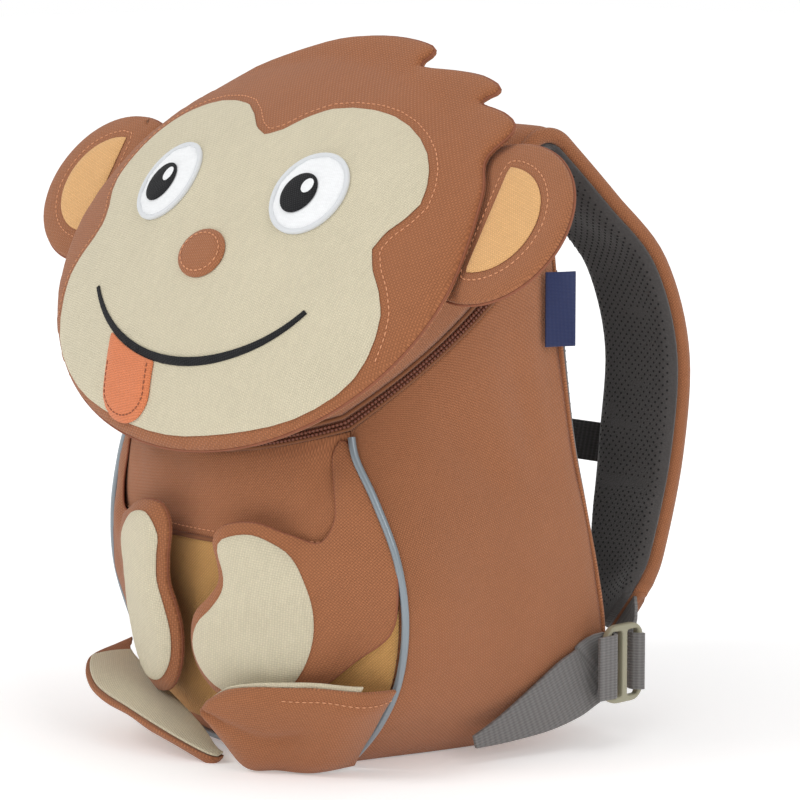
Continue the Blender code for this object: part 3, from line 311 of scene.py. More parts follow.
# Shoulder strap route, x as a share of half the width, reach from the back panel as a share of the
# strap's reach, z of the height, width of the strap width, roll in degrees about the route.
StrapRow = namedtuple("StrapRow", "x reach z width roll")
STRAP_ROUTE = [
    StrapRow(0.270, 0.000, 0.965, 1.00, 0.0),
    StrapRow(0.270, 0.000, 1.034, 1.00, 0.0),
    StrapRow(0.275, 0.009, 1.078, 1.00, 0.0),
    StrapRow(0.285, 0.067, 1.116, 1.00, 0.0),
    StrapRow(0.300, 0.172, 1.140, 1.00, 0.0),
    StrapRow(0.320, 0.302, 1.137, 1.00, 0.0),
    StrapRow(0.345, 0.420, 1.107, 1.00, 0.0),
    StrapRow(0.450, 0.665, 1.015, 1.00, 0.0),
    StrapRow(0.580, 0.936, 0.900, 1.00, 0.0),
    StrapRow(0.690, 1.000, 0.730, 1.00, 0.0),
    StrapRow(0.735, 0.873, 0.537, 1.00, 0.0),
    StrapRow(0.780, 0.660, 0.345, 0.95, 8.0),
    StrapRow(0.840, 0.537, 0.272, 0.82, 20.0),
    StrapRow(0.910, 0.437, 0.232, 0.66, 35.0),
]

# Hem webbing along the lower side edge up to the ladder buckle, x as a share of half the width,
# y of the depth, z of the height and width of the webbing width.
WebRow = namedtuple("WebRow", "x y z width")
ANCHOR_ROUTE = [
    WebRow(0.925, -0.100, 0.042, 0.20),
    WebRow(0.955, 0.030, 0.060, 0.46),
    WebRow(1.000, 0.180, 0.090, 0.80),
    WebRow(1.025, 0.300, 0.118, 1.00),
    WebRow(1.036, 0.385, 0.138, 1.00),
]
BUCKLE_PLACE = (1.095, 0.510, 0.156)
HEM_TURN = (-95, -60, -25, 10, 45, 80, 105)
STRAP_WEB_TURN = (-100, -135, -170, -205, -240, -265)

# Hair tufts of the head outline, as shares of half the head width and half its height.
HAIR = [
    (0.985, 0.22), (0.955, 0.42), (0.905, 0.565), (0.985, 0.715), (0.90, 0.79), (0.765, 0.835),
    (0.84, 0.905), (0.73, 0.965), (0.58, 0.985), (0.40, 1.000), (0.445, 1.085), (0.33, 1.130),
    (0.15, 1.145), (-0.05, 1.120), (-0.24, 1.050), (-0.42, 0.950),
]

# Plain face of the builder's own layout, as shares of half the head width and half its height.
FACE_LOBE = dict(out=0.37, up=0.26, wide=0.43, high=0.44)
FACE_JAW = dict(up=-0.36, wide=0.84, high=0.60)
EYE = dict(out=0.37, up=0.20, radius=0.0165, tall=1.08)
PUPIL = dict(inward=0.0035, down=0.0010, radius=0.0080, tall=1.1)
NOSE = dict(up=-0.16, wide=0.0125, high=0.0100)
MOUTH = dict(up=0.10, radius=0.074, squash=0.86, start=216.0, end=324.0, thick=0.0019)
TONGUE = dict(angle=250.0, wide=0.0150, long=0.024)

# %% [markdown]
# ## The surfaces
#
# A sewn bag's panel is close to a smooth sheet between two seams. Each panel is a formula of a place
# across it and a row up it, so stitches, flaps and pads find the cloth under them by the same formula.

# %% Curves through tables
def mix(a, b, share):
    """Value or vector between a and b."""
    return a + (b - a) * share


def ease(share):
    """Smooth step from 0 to 1."""
    share = max(0.0, min(1.0, share))
    return share * share * (3 - 2 * share)


def spline(before, start, end, after, share):
    """Catmull-Rom value between start and end."""
    square = share * share
    cube = square * share
    return 0.5 * (2 * start + (end - before) * share + (2 * before - 5 * start + 4 * end - after) * square
                  + (3 * start - before - 3 * end + after) * cube)


def smooth_row(table, row):
    """Row of a table at a fractional place, on a smooth curve through its rows."""
    last = len(table) - 1
    first = min(int(row), last - 1)
    near = [table[max(0, min(last, first + step))] for step in (-1, 0, 1, 2)]
    return type(table[0])(*[spline(*column, row - first) for column in zip(*near)])


def mirrored(point, sign):
    """Point on the right side for sign 1 and on the left for sign -1."""
    return Vector((sign * point.x, point.y, point.z))


def body_place(x, y, z):
    """Point at shares of half the body's width, of its depth and of its height."""
    return Vector((x * HALF_WIDTH, y * BODY_DEPTH, z * BODY_HEIGHT))


# %% Body panels and their rings
def front_point(across, row):
    """Point of the front panel, across from -1 to 1 and row in the section table."""
    cut = smooth_row(SECTIONS, row)
    bow = 1 - across * across
    return body_place(cut.front_x * across, cut.front_y - cut.belly * bow, cut.front_z - cut.drop * bow)


def back_point(across, row):
    """Point of the back panel, across from -1 to 1 and row in the section table."""
    cut = smooth_row(SECTIONS, row)
    bow = 1 - across * across
    return body_place(cut.back_x * across, cut.back_y + cut.back_bow * bow, cut.back_z + cut.rise * bow)


def side_point(along, row):
    """Point of the right side panel, along from 0 at the front seam to 1 at the back seam."""
    cut = smooth_row(SECTIONS, row)
    point = mix(front_point(1, row), back_point(1, row), along)
    point.x += cut.side_bow * HALF_WIDTH * math.sin(math.pi * along)
    return point


def ring_places():
    """Panel name and place along it for each point of a ring, from the left front seam to the right."""
    places = [("front", -1 + 2 * k / FRONT_STEPS) for k in range(FRONT_STEPS)]
    places += [("right", k / SIDE_STEPS) for k in range(SIDE_STEPS)]
    places += [("back", 1 - 2 * k / BACK_STEPS) for k in range(BACK_STEPS)]
    places += [("left", 1 - k / SIDE_STEPS) for k in range(SIDE_STEPS)]
    return places


def body_ring(row):
    """Closed ring of the body at a row."""
    panels = {"front": front_point, "right": side_point, "back": back_point, "left": side_point}
    return [mirrored(panels[panel](along, row), -1 if panel == "left" else 1)
            for panel, along in ring_places()]


# %% Head panel and lid ring
def head_point(across, up, out):
    """Point in the tilted frame of the head panel."""
    sine, cosine = math.sin(HEAD_TILT), math.cos(HEAD_TILT)
    return Vector((across, -HEAD_SETBACK + up * sine - out * cosine, HEAD_LIFT + up * cosine + out * sine))


def dome(across, up):
    """Height of the head panel's outer face over its rim plane."""
    reach = (2 * across / HEAD_WIDTH) ** 2 + (2 * up / HEAD_HEIGHT) ** 2
    return HEAD_CROWN * max(0.0, 1 - reach) ** 0.9


def lid_ring():
    """Ring where the lid gusset meets the back of the head panel."""
    quarter = LID_FRONT_TURN
    ring = []
    for panel, along in ring_places():
        if panel == "front":
            angle = -math.pi / 2 + quarter * along
        elif panel == "back":
            angle = math.pi / 2 - quarter * along
        else:
            angle = mix(-math.pi / 2 + quarter, math.pi / 2 - quarter, along)
        if panel == "left":
            angle = math.pi - angle
        across = LID_RING_WIDTH / 2 * math.cos(angle)
        up = LID_RING_HEIGHT / 2 * math.sin(angle)
        ring.append(head_point(across, up, dome(across, up) - HEAD_PAD - SKIN_GAP))
    return ring


def zip_share():
    """How wide the zip is at each ring point, 1 at the front and 0 along the hinge at the back."""
    fixed = {"front": 1.0, "back": 0.0}
    return [fixed.get(panel, min(1.0, (1 - along) / ZIP_TAPER)) for panel, along in ring_places()]


# %% [markdown]
# ## Folds
#
# Stiff woven cloth doesn't lie flat: it pulls in at each seam, bulges between them and breaks into a few
# soft folds. The folds here are chosen lines with a width and a depth, and a slow noise of under a
# millimetre keeps the panels from looking like plastic.

# %% Folds and unevenness
Fold = namedtuple("Fold", "ax az bx bz width depth")
FRONT_FOLDS = [
    Fold(0.70, 0.64, 0.62, 0.50, 0.0050, 0.0020),
    Fold(0.62, 0.50, 0.25, 0.450, 0.0045, 0.0016),
    Fold(-0.58, 0.64, -0.50, 0.48, 0.0060, 0.0010),
    Fold(0.80, 0.30, 0.66, 0.17, 0.0060, 0.0016),
    Fold(-0.25, 0.62, -0.05, 0.50, 0.0090, 0.0010),
]
SIDE_FOLDS = [
    Fold(-0.30, 0.68, 0.05, 0.50, 0.0110, 0.0022),
    Fold(0.05, 0.80, 0.20, 0.52, 0.0085, 0.0016),
    Fold(0.28, 0.85, 0.30, 0.58, 0.0060, 0.0012),
    Fold(-0.42, 0.55, -0.28, 0.25, 0.0130, -0.0016),
    Fold(-0.20, 0.09, 0.30, 0.22, 0.0120, 0.0010),
]


def fold_depth(across, height, folds, wide):
    """How far the folds push a panel's cloth inward at a place."""
    here = Vector((across, height))
    total = 0.0
    for fold in folds:
        start = Vector((fold.ax * wide, fold.az * BODY_HEIGHT))
        run = Vector((fold.bx * wide, fold.bz * BODY_HEIGHT)) - start
        share = max(0.0, min(1.0, (here - start).dot(run) / run.length_squared))
        away = (here - start - run * share).length / fold.width
        total += fold.depth * math.exp(-away * away) * (0.35 + 0.65 * math.sin(math.pi * share))
    return total


def uneven(point, size, height):
    """Slow unevenness of a cloth surface."""
    return height * noise.noise(Vector(point) / size)


def front_relief(point, across):
    """Outward offset of the front cloth: pulled in at the seams, folded and slightly uneven."""
    pull = 0.0004 * (1 - ease((1 - abs(across)) / 0.16))
    return -pull - fold_depth(point.x, point.z, FRONT_FOLDS, HALF_WIDTH) + uneven(point, 0.030, 0.0006)


def side_relief(point, along):
    """Outward offset of a side panel."""
    pull = 0.0007 * (1 - ease(along / 0.10)) + 0.0012 * (1 - ease((1 - along) / 0.08))
    return -pull - fold_depth(point.y, point.z, SIDE_FOLDS, BODY_DEPTH) + uneven(point, 0.035, 0.0008)


def panel_normal(surface, place, row):
    """Outward direction of a panel given by a function of a place and a row."""
    run = surface(place + 0.01, row) - surface(place - 0.01, row)
    rise = surface(place, min(row + 0.05, TOP_ROW)) - surface(place, max(row - 0.05, 0.0))
    return run.cross(rise).normalized()


def front_skin(across, row, out=0.0):
    """Cloth of the front panel, moved outward."""
    here = front_point(across, row)
    return here + panel_normal(front_point, across, row) * (out + front_relief(here, across))


def side_skin(along, row, out=0.0):
    """Cloth of the right side panel, moved outward."""
    here = side_point(along, row)
    normal = panel_normal(side_point, min(max(along, 0.01), 0.99), row)
    return here + normal * (out + side_relief(here, along))


def back_skin(across, row, out=0.0):
    """Cloth of the back panel, moved outward."""
    return back_point(across, row) - panel_normal(back_point, across, row) * out


def wall_place(panel, across, height, out):
    """Point over the front or back panel at a width and a height, moved outward."""
    low, high = 0.0, float(TOP_ROW)
    for _ in range(28):
        row = (low + high) / 2
        cut = smooth_row(SECTIONS, row)
        edge = (cut.front_x if panel is front_point else cut.back_x) * HALF_WIDTH
        if panel(max(-1.0, min(1.0, across / edge)), row).z < height:
            low = row
        else:
            high = row
    share = max(-1.0, min(1.0, across / edge))
    row = min(max(row, 0.05), TOP_ROW - 0.05)
    normal = panel_normal(panel, share, row)
    return panel(share, row) + normal * (-out if panel is back_point else out)


# %% [markdown]
# ## Making closed cloth
#
# A cloth piece is two sheets of points with a wall round their edge, so it is closed and has a real
# thickness. Its UV map is in metres along the cloth, which keeps the weave at one scale on every piece.
# A small bevel rounds the cut or folded edge.

# %% Mesh helpers
pieces = {}


def link_mesh(name, points, faces, spots=None):
    """Object of a closed mesh with outward faces and a UV map in metres."""
    mesh = bpy.data.meshes.new(name)
    work = bmesh.new()
    corners = [work.verts.new(point) for point in points]
    for face in faces:
        work.faces.new([corners[index] for index in face])
    if spots:
        layer = work.loops.layers.uv.new("Weave")
        place = dict(zip(corners, spots))
        for face in work.faces:
            for loop in face.loops:
                loop[layer].uv = place[loop.vert]
    bmesh.ops.recalc_face_normals(work, faces=work.faces)
    work.to_mesh(mesh)
    work.free()
    return linked(name, mesh)


def applied(thing):
    """Plain mesh object in place of an object with modifiers or a curve."""
    graph = bpy.context.evaluated_depsgraph_get()
    mesh = bpy.data.meshes.new_from_object(thing.evaluated_get(graph), depsgraph=graph)
    name, old = thing.name, thing.data
    bpy.data.objects.remove(thing, do_unlink=True)
    if isinstance(old, bpy.types.Mesh):
        bpy.data.meshes.remove(old)
    mesh.name = name
    return linked(name, mesh)


def rounded(thing, width, segments=3):
    """Object with its sharp edges rounded."""
    bevel = thing.modifiers.new("round", "BEVEL")
    bevel.width = width
    bevel.segments = segments
    bevel.limit_method = "ANGLE"
    bevel.angle_limit = math.radians(50)
    return applied(thing)


def keep(thing, finish, slot, *nodes, pad=None):
    """Finish a piece: smooth shading, its material, its place in the frame and the solids it stands for."""
    thing.data.materials.clear()
    thing.data.materials.append(finish)
    thing.data.shade_smooth()
    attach(thing, "root")
    if nodes:
        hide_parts(*nodes)
    pieces[thing.name] = len(thing.data.polygons)
    print(thing.name, len(thing.data.polygons), "faces")
    return thing


# %% Sheets over a grid
def grid_spots(grid):
    """UV place in metres of each grid point, measured along the cloth from its middle column."""
    middle = len(grid[0]) // 2
    spots = []
    rise = 0.0
    for i, line in enumerate(grid):
        if i:
            rise += (line[middle] - grid[i - 1][middle]).length
        runs = [0.0]
        for start, end in zip(line, line[1:]):
            runs.append(runs[-1] + (end - start).length)
        spots += [(run - runs[middle], rise) for run in runs]
    return spots


def sheet(name, lower, upper):
    """Closed sheet between two grids of points."""
    rows, columns = len(upper), len(upper[0])
    count = rows * columns
    points = [point for line in lower for point in line] + [point for line in upper for point in line]
    faces = []
    for i in range(rows - 1):
        for j in range(columns - 1):
            a = i * columns + j
            quad = (a, a + 1, a + columns + 1, a + columns)
            faces.append(quad)
            faces.append(tuple(count + corner for corner in reversed(quad)))
    border = list(range(columns)) + [i * columns + columns - 1 for i in range(1, rows)]
    border += [(rows - 1) * columns + j for j in range(columns - 2, -1, -1)]
    border += [i * columns for i in range(rows - 2, 0, -1)]
    for start, end in zip(border, border[1:] + border[:1]):
        faces.append((end, start, count + start, count + end))
    spots = grid_spots(upper)
    return link_mesh(name, points, faces, spots + spots)


def grid_normals(grid):
    """Direction across a grid's surface at each point."""
    rows, columns = len(grid), len(grid[0])
    normals = []
    for i in range(rows):
        line = []
        for j in range(columns):
            down = grid[min(i + 1, rows - 1)][j] - grid[max(i - 1, 0)][j]
            along = grid[i][min(j + 1, columns - 1)] - grid[i][max(j - 1, 0)]
            line.append(down.cross(along).normalized())
        normals.append(line)
    return normals


# %% Flaps over an outline
def inside(point, outline):
    """Whether a point lies inside a closed outline."""
    crossings = False
    for (ax, ay), (bx, by) in zip(outline, outline[1:] + outline[:1]):
        if (ay > point[1]) != (by > point[1]):
            if point[0] < ax + (bx - ax) * (point[1] - ay) / (by - ay):
                crossings = not crossings
    return crossings


def edge_distance(point, outline):
    """Distance from a point to the nearest edge of an outline."""
    here = Vector(point)
    nearest = 1.0
    for start, end in zip(outline, outline[1:] + outline[:1]):
        first, run = Vector(start), Vector(end) - Vector(start)
        share = max(0.0, min(1.0, (here - first).dot(run) / run.length_squared))
        nearest = min(nearest, (here - first - run * share).length)
    return nearest


def flat_net(outline, step):
    """Triangles over an outline, with inner points on a grid."""
    xs = [point[0] for point in outline]
    ys = [point[1] for point in outline]
    points = [Vector(point) for point in outline]
    row = 0
    up = min(ys) + step / 2
    while up < max(ys):
        across = min(xs) + step * (0.5 + 0.5 * (row % 2))
        while across < max(xs):
            spot = (across, up)
            if inside(spot, outline) and edge_distance(spot, outline) > 0.4 * step:
                points.append(Vector(spot))
            across += step
        up += step * 0.87
        row += 1
    net = delaunay_2d_cdt(points, [], [list(range(len(outline)))], 1, 1e-7)
    return [tuple(point) for point in net[0]], [tuple(face) for face in net[2]]


def smooth_loop(outline, parts=3):
    """Closed smooth curve through an outline's points."""
    count = len(outline)
    loop = []
    for k in range(count):
        near = [outline[(k + step) % count] for step in (-1, 0, 1, 2)]
        for part in range(parts):
            loop.append(tuple(spline(*column, part / parts) for column in zip(*near)))
    return loop


def circle(across, up, wide, high, count):
    """Points of an ellipse, turning left from its right end."""
    angles = [2 * math.pi * k / count for k in range(count)]
    return [(across + wide * math.cos(angle), up + high * math.sin(angle)) for angle in angles]


def flap(name, outline, place, low, high, step):
    """Closed cloth piece over an outline, between two heights over the surface place gives."""
    spots, triangles = flat_net(outline, step)
    count = len(spots)
    depth = [edge_distance(spot, outline) for spot in spots]
    points = [place(*spots[k], low(*spots[k], depth[k])) for k in range(count)]
    points += [place(*spots[k], high(*spots[k], depth[k])) for k in range(count)]
    faces, rim = [], {}
    for a, b, c in triangles:
        faces += [(c, b, a), (count + a, count + b, count + c)]
        for start, end in ((a, b), (b, c), (c, a)):
            rim[(start, end)] = True
    faces += [(a, b, count + b, count + a) for a, b in rim if (b, a) not in rim]
    return link_mesh(name, points, faces, spots + spots)


def even_loop(outline, step):
    """Closed outline with points at an even spacing."""
    loop = [Vector(spot) for spot in outline]
    spans = [(loop[(k + 1) % len(loop)] - loop[k]).length for k in range(len(loop))]
    count = max(8, round(sum(spans) / step))
    pitch = sum(spans) / count
    spots, walked, k = [], 0.0, 0
    for number in range(count):
        while walked + spans[k] < number * pitch and k < len(loop) - 1:
            walked += spans[k]
            k += 1
        share = (number * pitch - walked) / spans[k]
        spots.append(tuple(loop[k].lerp(loop[(k + 1) % len(loop)], min(1.0, share))))
    return spots


def offset_loop(outline, distance):
    """Closed outline moved outward, for one that turns to the left."""
    moved = []
    count = len(outline)
    for k in range(count):
        run = (Vector(outline[(k + 1) % count]) - Vector(outline[k - 1])).normalized()
        moved.append((outline[k][0] + run.y * distance, outline[k][1] - run.x * distance))
    return moved


def kept_runs(loop, test):
    """Open runs of a closed loop whose points pass a test."""
    flags = [test(spot) for spot in loop]
    if all(flags):
        return [loop + loop[:1]]
    start = flags.index(False)
    runs, run = [], []
    for k in range(len(loop)):
        spot = loop[(start + k) % len(loop)]
        if flags[(start + k) % len(loop)]:
            run.append(spot)
        elif run:
            runs.append(run)
            run = []
    if run:
        runs.append(run)
    return [run for run in runs if len(run) > 2]


# %% [markdown]
# ## The weave
#
# The bag's polyester has a coarse plain weave, a little more than one thread to a millimetre. A picture
# would blur up close, so a node group computes it: each cell of the UV map shows either the warp or the
# weft thread on top, with a rounded height, painted shade that darkens each thread's sides and the gap
# between threads, and a slight change of colour between threads.

# %% Node helpers
def calculator(tree):
    """Function that adds Math nodes to a tree."""
    def calc(operation, *values):
        return add_node(tree, "ShaderNodeMath", dict(enumerate(values)), operation=operation).outputs[0]
    return calc


def colour_mix(tree, share, first, second):
    """Colour between two colours or sockets."""
    return add_node(tree, "ShaderNodeMix", {0: share, 6: first, 7: second}, data_type="RGBA").outputs[2]


def toned(colour, by):
    """Lighter or darker colour, with its alpha."""
    return (*(min(1.0, value * by) for value in colour), 1)


def new_group(kind, name, inputs, outputs):
    """Node group of named sockets: tree, the inputs' identifiers, input node and output node."""
    tree = bpy.data.node_groups.new(name, kind + "NodeTree")

    def sockets(side, sorts):
        made = {label: tree.interface.new_socket(label, in_out=side, socket_type="NodeSocket" + sort)
                for label, sort in sorts.items()}
        return {label: socket.identifier for label, socket in made.items()}

    ids = sockets("INPUT", inputs)
    sockets("OUTPUT", outputs)
    return tree, ids, tree.nodes.new("NodeGroupInput"), tree.nodes.new("NodeGroupOutput")


# %% Weave group
def weave_group():
    """Colour with painted shade in its hollows, height and roughness of a plain weave on a UV map in metres.
    """
    tree, _, given, result = new_group(
        "Shader", "woven_cloth",
        {"Place": "Vector", "Threads": "Float", "Thread": "Color", "Gap_Shade": "Color", "Rib": "Float"},
        {"Color": "Color", "Height": "Float", "Roughness": "Float"})
    calc = calculator(tree)
    place = given.outputs["Place"]
    split = add_node(tree, "ShaderNodeSeparateXYZ", {0: place})
    u = calc("MULTIPLY", split.outputs[0], given.outputs["Threads"])
    v = calc("MULTIPLY", split.outputs[1], given.outputs["Threads"])
    along_u = calc("SINE", calc("MULTIPLY", calc("FRACT", u), math.pi))
    along_v = calc("SINE", calc("MULTIPLY", calc("FRACT", v), math.pi))
    parity = calc("ABSOLUTE", calc("MODULO", calc("ADD", calc("FLOOR", u), calc("FLOOR", v)), 2.0))
    warp = calc("MULTIPLY", along_u, calc("MULTIPLY_ADD", along_v, 0.5, 0.5))
    weft = calc("MULTIPLY", along_v, calc("MULTIPLY_ADD", along_u, 0.5, 0.5))
    weft = calc("MULTIPLY", weft, given.outputs["Rib"])
    height = calc("MULTIPLY_ADD", calc("SUBTRACT", weft, warp), parity, warp)

    # Each thread has its own slight shade, and the cloth is a little cloudy over centimetres.
    shade = add_node(tree, "ShaderNodeTexNoise", {"Scale": 38.0, "Detail": 3.0, "Vector": place})
    cell = add_node(tree, "ShaderNodeCombineXYZ", {
        0: calc("FLOOR", u), 1: calc("FLOOR", calc("MULTIPLY", v, 0.25))})
    threads = add_node(tree, "ShaderNodeTexWhiteNoise", {"Vector": cell.outputs[0]}, noise_dimensions="2D")
    tint = calc("ADD", calc("MULTIPLY", calc("SUBTRACT", shade.outputs[0], 0.5), 0.05),
                calc("MULTIPLY", calc("SUBTRACT", threads.outputs[0], 0.5), 0.025))
    # Painted shade: the colour runs from the darkened gap colour low in the weave to the thread colour on
    # each thread's crown.
    woven = colour_mix(tree, calc("POWER", height, 0.55), given.outputs["Gap_Shade"], given.outputs["Thread"])
    scaled = add_node(tree, "ShaderNodeVectorMath", {
        0: woven, "Scale": calc("MULTIPLY_ADD", tint, 2.0, 1.0)}, operation="SCALE")
    wire(tree, result, {"Color": scaled.outputs[0], "Height": height,
                        "Roughness": calc("MULTIPLY_ADD", height, -0.18, 0.95)})
    return tree


WEAVE = weave_group()


# %% Cloth materials
def principled(name):
    """New material with its tree and its Principled shader."""
    made = bpy.data.materials.new(name)
    made.use_nodes = True
    return made, made.node_tree, made.node_tree.nodes["Principled BSDF"]


def place_on_cloth(tree, turn=0.0):
    """UV map of the cloth, turned in its plane."""
    uv = add_node(tree, "ShaderNodeUVMap", uv_map="Weave")
    return add_node(tree, "ShaderNodeMapping", {
        "Vector": uv.outputs[0], "Rotation": (0, 0, math.radians(turn))}).outputs[0]


def bump(tree, shader, height, strength, distance=0.0003):
    """Bump on the shader's normal."""
    node = add_node(tree, "ShaderNodeBump", {"Strength": strength, "Distance": distance, "Height": height})
    wire(tree, shader, {"Normal": node.outputs[0]})


def cloth(name, colour, gap_shade=0.48, turn=38.0, threads=1150.0, rib=0.7, sheen=0.15, strength=0.75):
    """Woven cloth of one thread colour."""
    made, tree, shader = principled(name)
    group = add_node(tree, "ShaderNodeGroup", node_tree=WEAVE)
    # The gap colour is the thread colour darkened: painted shade in the weave's hollows.
    wire(tree, group, {"Thread": toned(colour, 1), "Gap_Shade": toned(colour, gap_shade), "Threads": threads, "Rib": rib,
                       "Place": place_on_cloth(tree, turn)})
    wire(tree, shader, {
        "Base Color": group.outputs["Color"], "Roughness": group.outputs["Roughness"],
        "Sheen Weight": sheen, "Sheen Roughness": 0.5, "Specular IOR Level": 0.25})
    bump(tree, shader, group.outputs["Height"], strength)
    return made


BROWN = cloth("brown_cloth", (0.44, 0.168, 0.072))
BROWN_HEAD = cloth("brown_head_cloth", (0.43, 0.160, 0.066), turn=8.0, rib=0.45)
BROWN_PLAIN = cloth("brown_strap_cloth", (0.42, 0.160, 0.068), turn=52.0)
CREAM = cloth("cream_cloth", (0.70, 0.63, 0.46), gap_shade=0.74, turn=12.0, rib=0.6)
OCHRE = cloth("ochre_cloth", (0.60, 0.32, 0.10), gap_shade=0.60, turn=50.0)
APRICOT = cloth("apricot_cloth", (0.84, 0.48, 0.20), gap_shade=0.66, turn=62.0, rib=0.45)
CORAL = cloth("coral_cloth", (0.78, 0.24, 0.10), gap_shade=0.66, turn=80.0)

# %% [markdown]
# ## Webbing, mesh, satin and plastic
#
# Webbing has strong cross ribs with a thinner selvedge and painted shade in the hollows between the ribs,
# satin threads shine along one direction, and the padded mesh is a soft knit whose holes are made later as
# real pieces: dark plugs, painted shade inside each hole. The plastics are nearly smooth, with a fine grain
# that breaks up the highlight.

# %% Other finishes
def ribbed(name, colour, ribs=900.0, columns=420.0):
    """Webbing with ribs across its length, darkened with painted shade in the hollows between the ribs."""
    made, tree, shader = principled(name)
    calc = calculator(tree)
    split = add_node(tree, "ShaderNodeSeparateXYZ", {0: place_on_cloth(tree)})
    cross, along = (calc("SINE", calc("MULTIPLY", socket, 2 * math.pi * count))
                    for socket, count in zip(split.outputs, (ribs, columns)))
    height = calc("MULTIPLY_ADD", along, 0.5, calc("MULTIPLY", cross, 0.5))
    share = calc("MULTIPLY_ADD", height, 0.4, 0.5)
    # Painted shade: the colour darkens toward the hollows between the ribs, following their height.
    wire(tree, shader, {"Base Color": colour_mix(tree, share, toned(colour, 0.55), toned(colour, 1)),
                        "Roughness": 0.72, "Sheen Weight": 0.15})
    bump(tree, shader, height, 0.6)
    return made


def knitted(name, colour):
    """Fine knit of a spacer mesh."""
    made, tree, shader = principled(name)
    calc = calculator(tree)
    place = place_on_cloth(tree)
    cells = add_node(tree, "ShaderNodeTexVoronoi", {"Scale": 1500.0, "Vector": place}).outputs[0]
    cloud = add_node(tree, "ShaderNodeTexNoise", {"Scale": 60.0, "Vector": place}).outputs[0]
    share = calc("MULTIPLY_ADD", cloud, 0.35, calc("MULTIPLY", cells, 0.6))
    wire(tree, shader, {"Base Color": colour_mix(tree, share, toned(colour, 1.25), toned(colour, 0.70)),
                        "Roughness": 0.95, "Sheen Weight": 0.3})
    bump(tree, shader, cells, 0.5)
    return made


def grained(name, colour, roughness, grain=900.0, metal=0.0, coat=0.0):
    """Moulded or coated surface with a fine grain and a slight change of tone."""
    made, tree, shader = principled(name)
    calc = calculator(tree)
    coords = add_node(tree, "ShaderNodeTexCoord").outputs["Object"]
    fine, slow = (add_node(tree, "ShaderNodeTexNoise", {"Scale": scale, "Vector": coords}).outputs[0]
                  for scale in (grain, 45.0))
    wire(tree, shader, {
        "Base Color": colour_mix(tree, slow, toned(colour, 0.88), toned(colour, 1.12)),
        "Roughness": calc("MULTIPLY_ADD", fine, 0.16, roughness - 0.08),
        "Metallic": metal, "Coat Weight": coat})
    bump(tree, shader, fine, 0.15, 0.0002)
    return made


GREY_WEB = ribbed("grey_web", (0.21, 0.20, 0.195))
DARK_WEB = ribbed("charcoal_web", (0.040, 0.038, 0.038))
MESH = knitted("grey_mesh", (0.070, 0.064, 0.062))
# Nearly black plugs: painted shade inside the mesh's holes.
HOLE_SHADE = grained("mesh_hole_shade", (0.012, 0.011, 0.011), 0.9)
PIPE = grained("reflective_piping", (0.24, 0.28, 0.31), 0.34, grain=1400.0, metal=0.35, coat=0.2)
KHAKI = grained("khaki_plastic", (0.33, 0.31, 0.215), 0.42)
CHARCOAL = grained("charcoal_plastic", (0.035, 0.034, 0.034), 0.5)
ZIP = grained("zip_coil", (0.17, 0.050, 0.026), 0.42, grain=600.0)
TAPE = cloth("zip_brown", (0.20, 0.070, 0.036), turn=0.0, threads=1300.0, rib=0.3)
NAVY = ribbed("navy_label", (0.016, 0.032, 0.135), ribs=1800.0, columns=1800.0)
WHITE = cloth("white_satin", (0.86, 0.87, 0.88), gap_shade=0.93, turn=90.0, threads=1900.0, rib=0.2, strength=0.25)
WHITE_RIM = cloth("white_rim", (0.80, 0.82, 0.84), gap_shade=0.8, turn=0.0, threads=1200.0, rib=0.1, strength=0.4)
BLACK = cloth("black_satin", (0.016, 0.016, 0.018), gap_shade=0.6, turn=20.0, threads=1500.0, rib=0.2, sheen=0.05)
THREAD = grained("orange_thread", (0.66, 0.30, 0.155), 0.75, grain=1500.0)
BROWN_THREAD = grained("brown_thread", (0.26, 0.085, 0.040), 0.8, grain=1500.0)
print("materials", len(bpy.data.materials))

# %% [markdown]
# ## Stitches, teeth and holes with Geometry Nodes
#
# A seam shows hundreds of equal stitches along a line, and a zip its teeth. A node tree turns a line of
# edges into a curve, samples it at the pitch, and puts one small closed bead at each place, turned along
# the line. A second tree puts one shallow plug at each point, turned to the cloth's own direction.

# %% Bead and plug trees
PLUG_DEPTH = 0.0003


def grow_group(name, sizes):
    """Geometry group with a geometry in and out, named sizes and a material."""
    inputs = {"Geometry": "Geometry", **dict.fromkeys(sizes, "Float"), "Material": "Material"}
    return new_group("Geometry", name, inputs, {"Geometry": "Geometry"})


def finish_tree(tree, given, result, instances):
    """Realize the instances, set their material and send them out."""
    real = add_node(tree, "GeometryNodeRealizeInstances", {0: instances})
    paint = add_node(tree, "GeometryNodeSetMaterial", {
        0: real.outputs[0], "Material": given.outputs["Material"]})
    wire(tree, result, {0: paint.outputs[0]})


def bead_tree():
    """Beads of a length and a radius at a pitch along lines of edges."""
    tree, ids, given, result = grow_group("beads_on_line", ("Pitch", "Length", "Radius"))
    radius = given.outputs["Radius"]
    curve = add_node(tree, "GeometryNodeMeshToCurve", {0: given.outputs["Geometry"]})
    sample = add_node(tree, "GeometryNodeResampleCurve", {
        "Curve": curve.outputs[0], "Length": given.outputs["Pitch"]}, mode="LENGTH")
    spots = add_node(tree, "GeometryNodeCurveToPoints", {"Curve": sample.outputs[0]}, mode="EVALUATED")
    bead = add_node(tree, "GeometryNodeMeshUVSphere", {"Segments": 6, "Rings": 4, "Radius": 1.0})
    half = calculator(tree)("MULTIPLY", given.outputs["Length"], 0.5)
    size = add_node(tree, "ShaderNodeCombineXYZ", {0: radius, 1: radius, 2: half})
    copies = add_node(tree, "GeometryNodeInstanceOnPoints", {
        "Points": spots.outputs["Points"], "Instance": bead.outputs["Mesh"],
        "Rotation": spots.outputs["Rotation"], "Scale": size.outputs[0]})
    finish_tree(tree, given, result, copies.outputs[0])
    return tree, ids


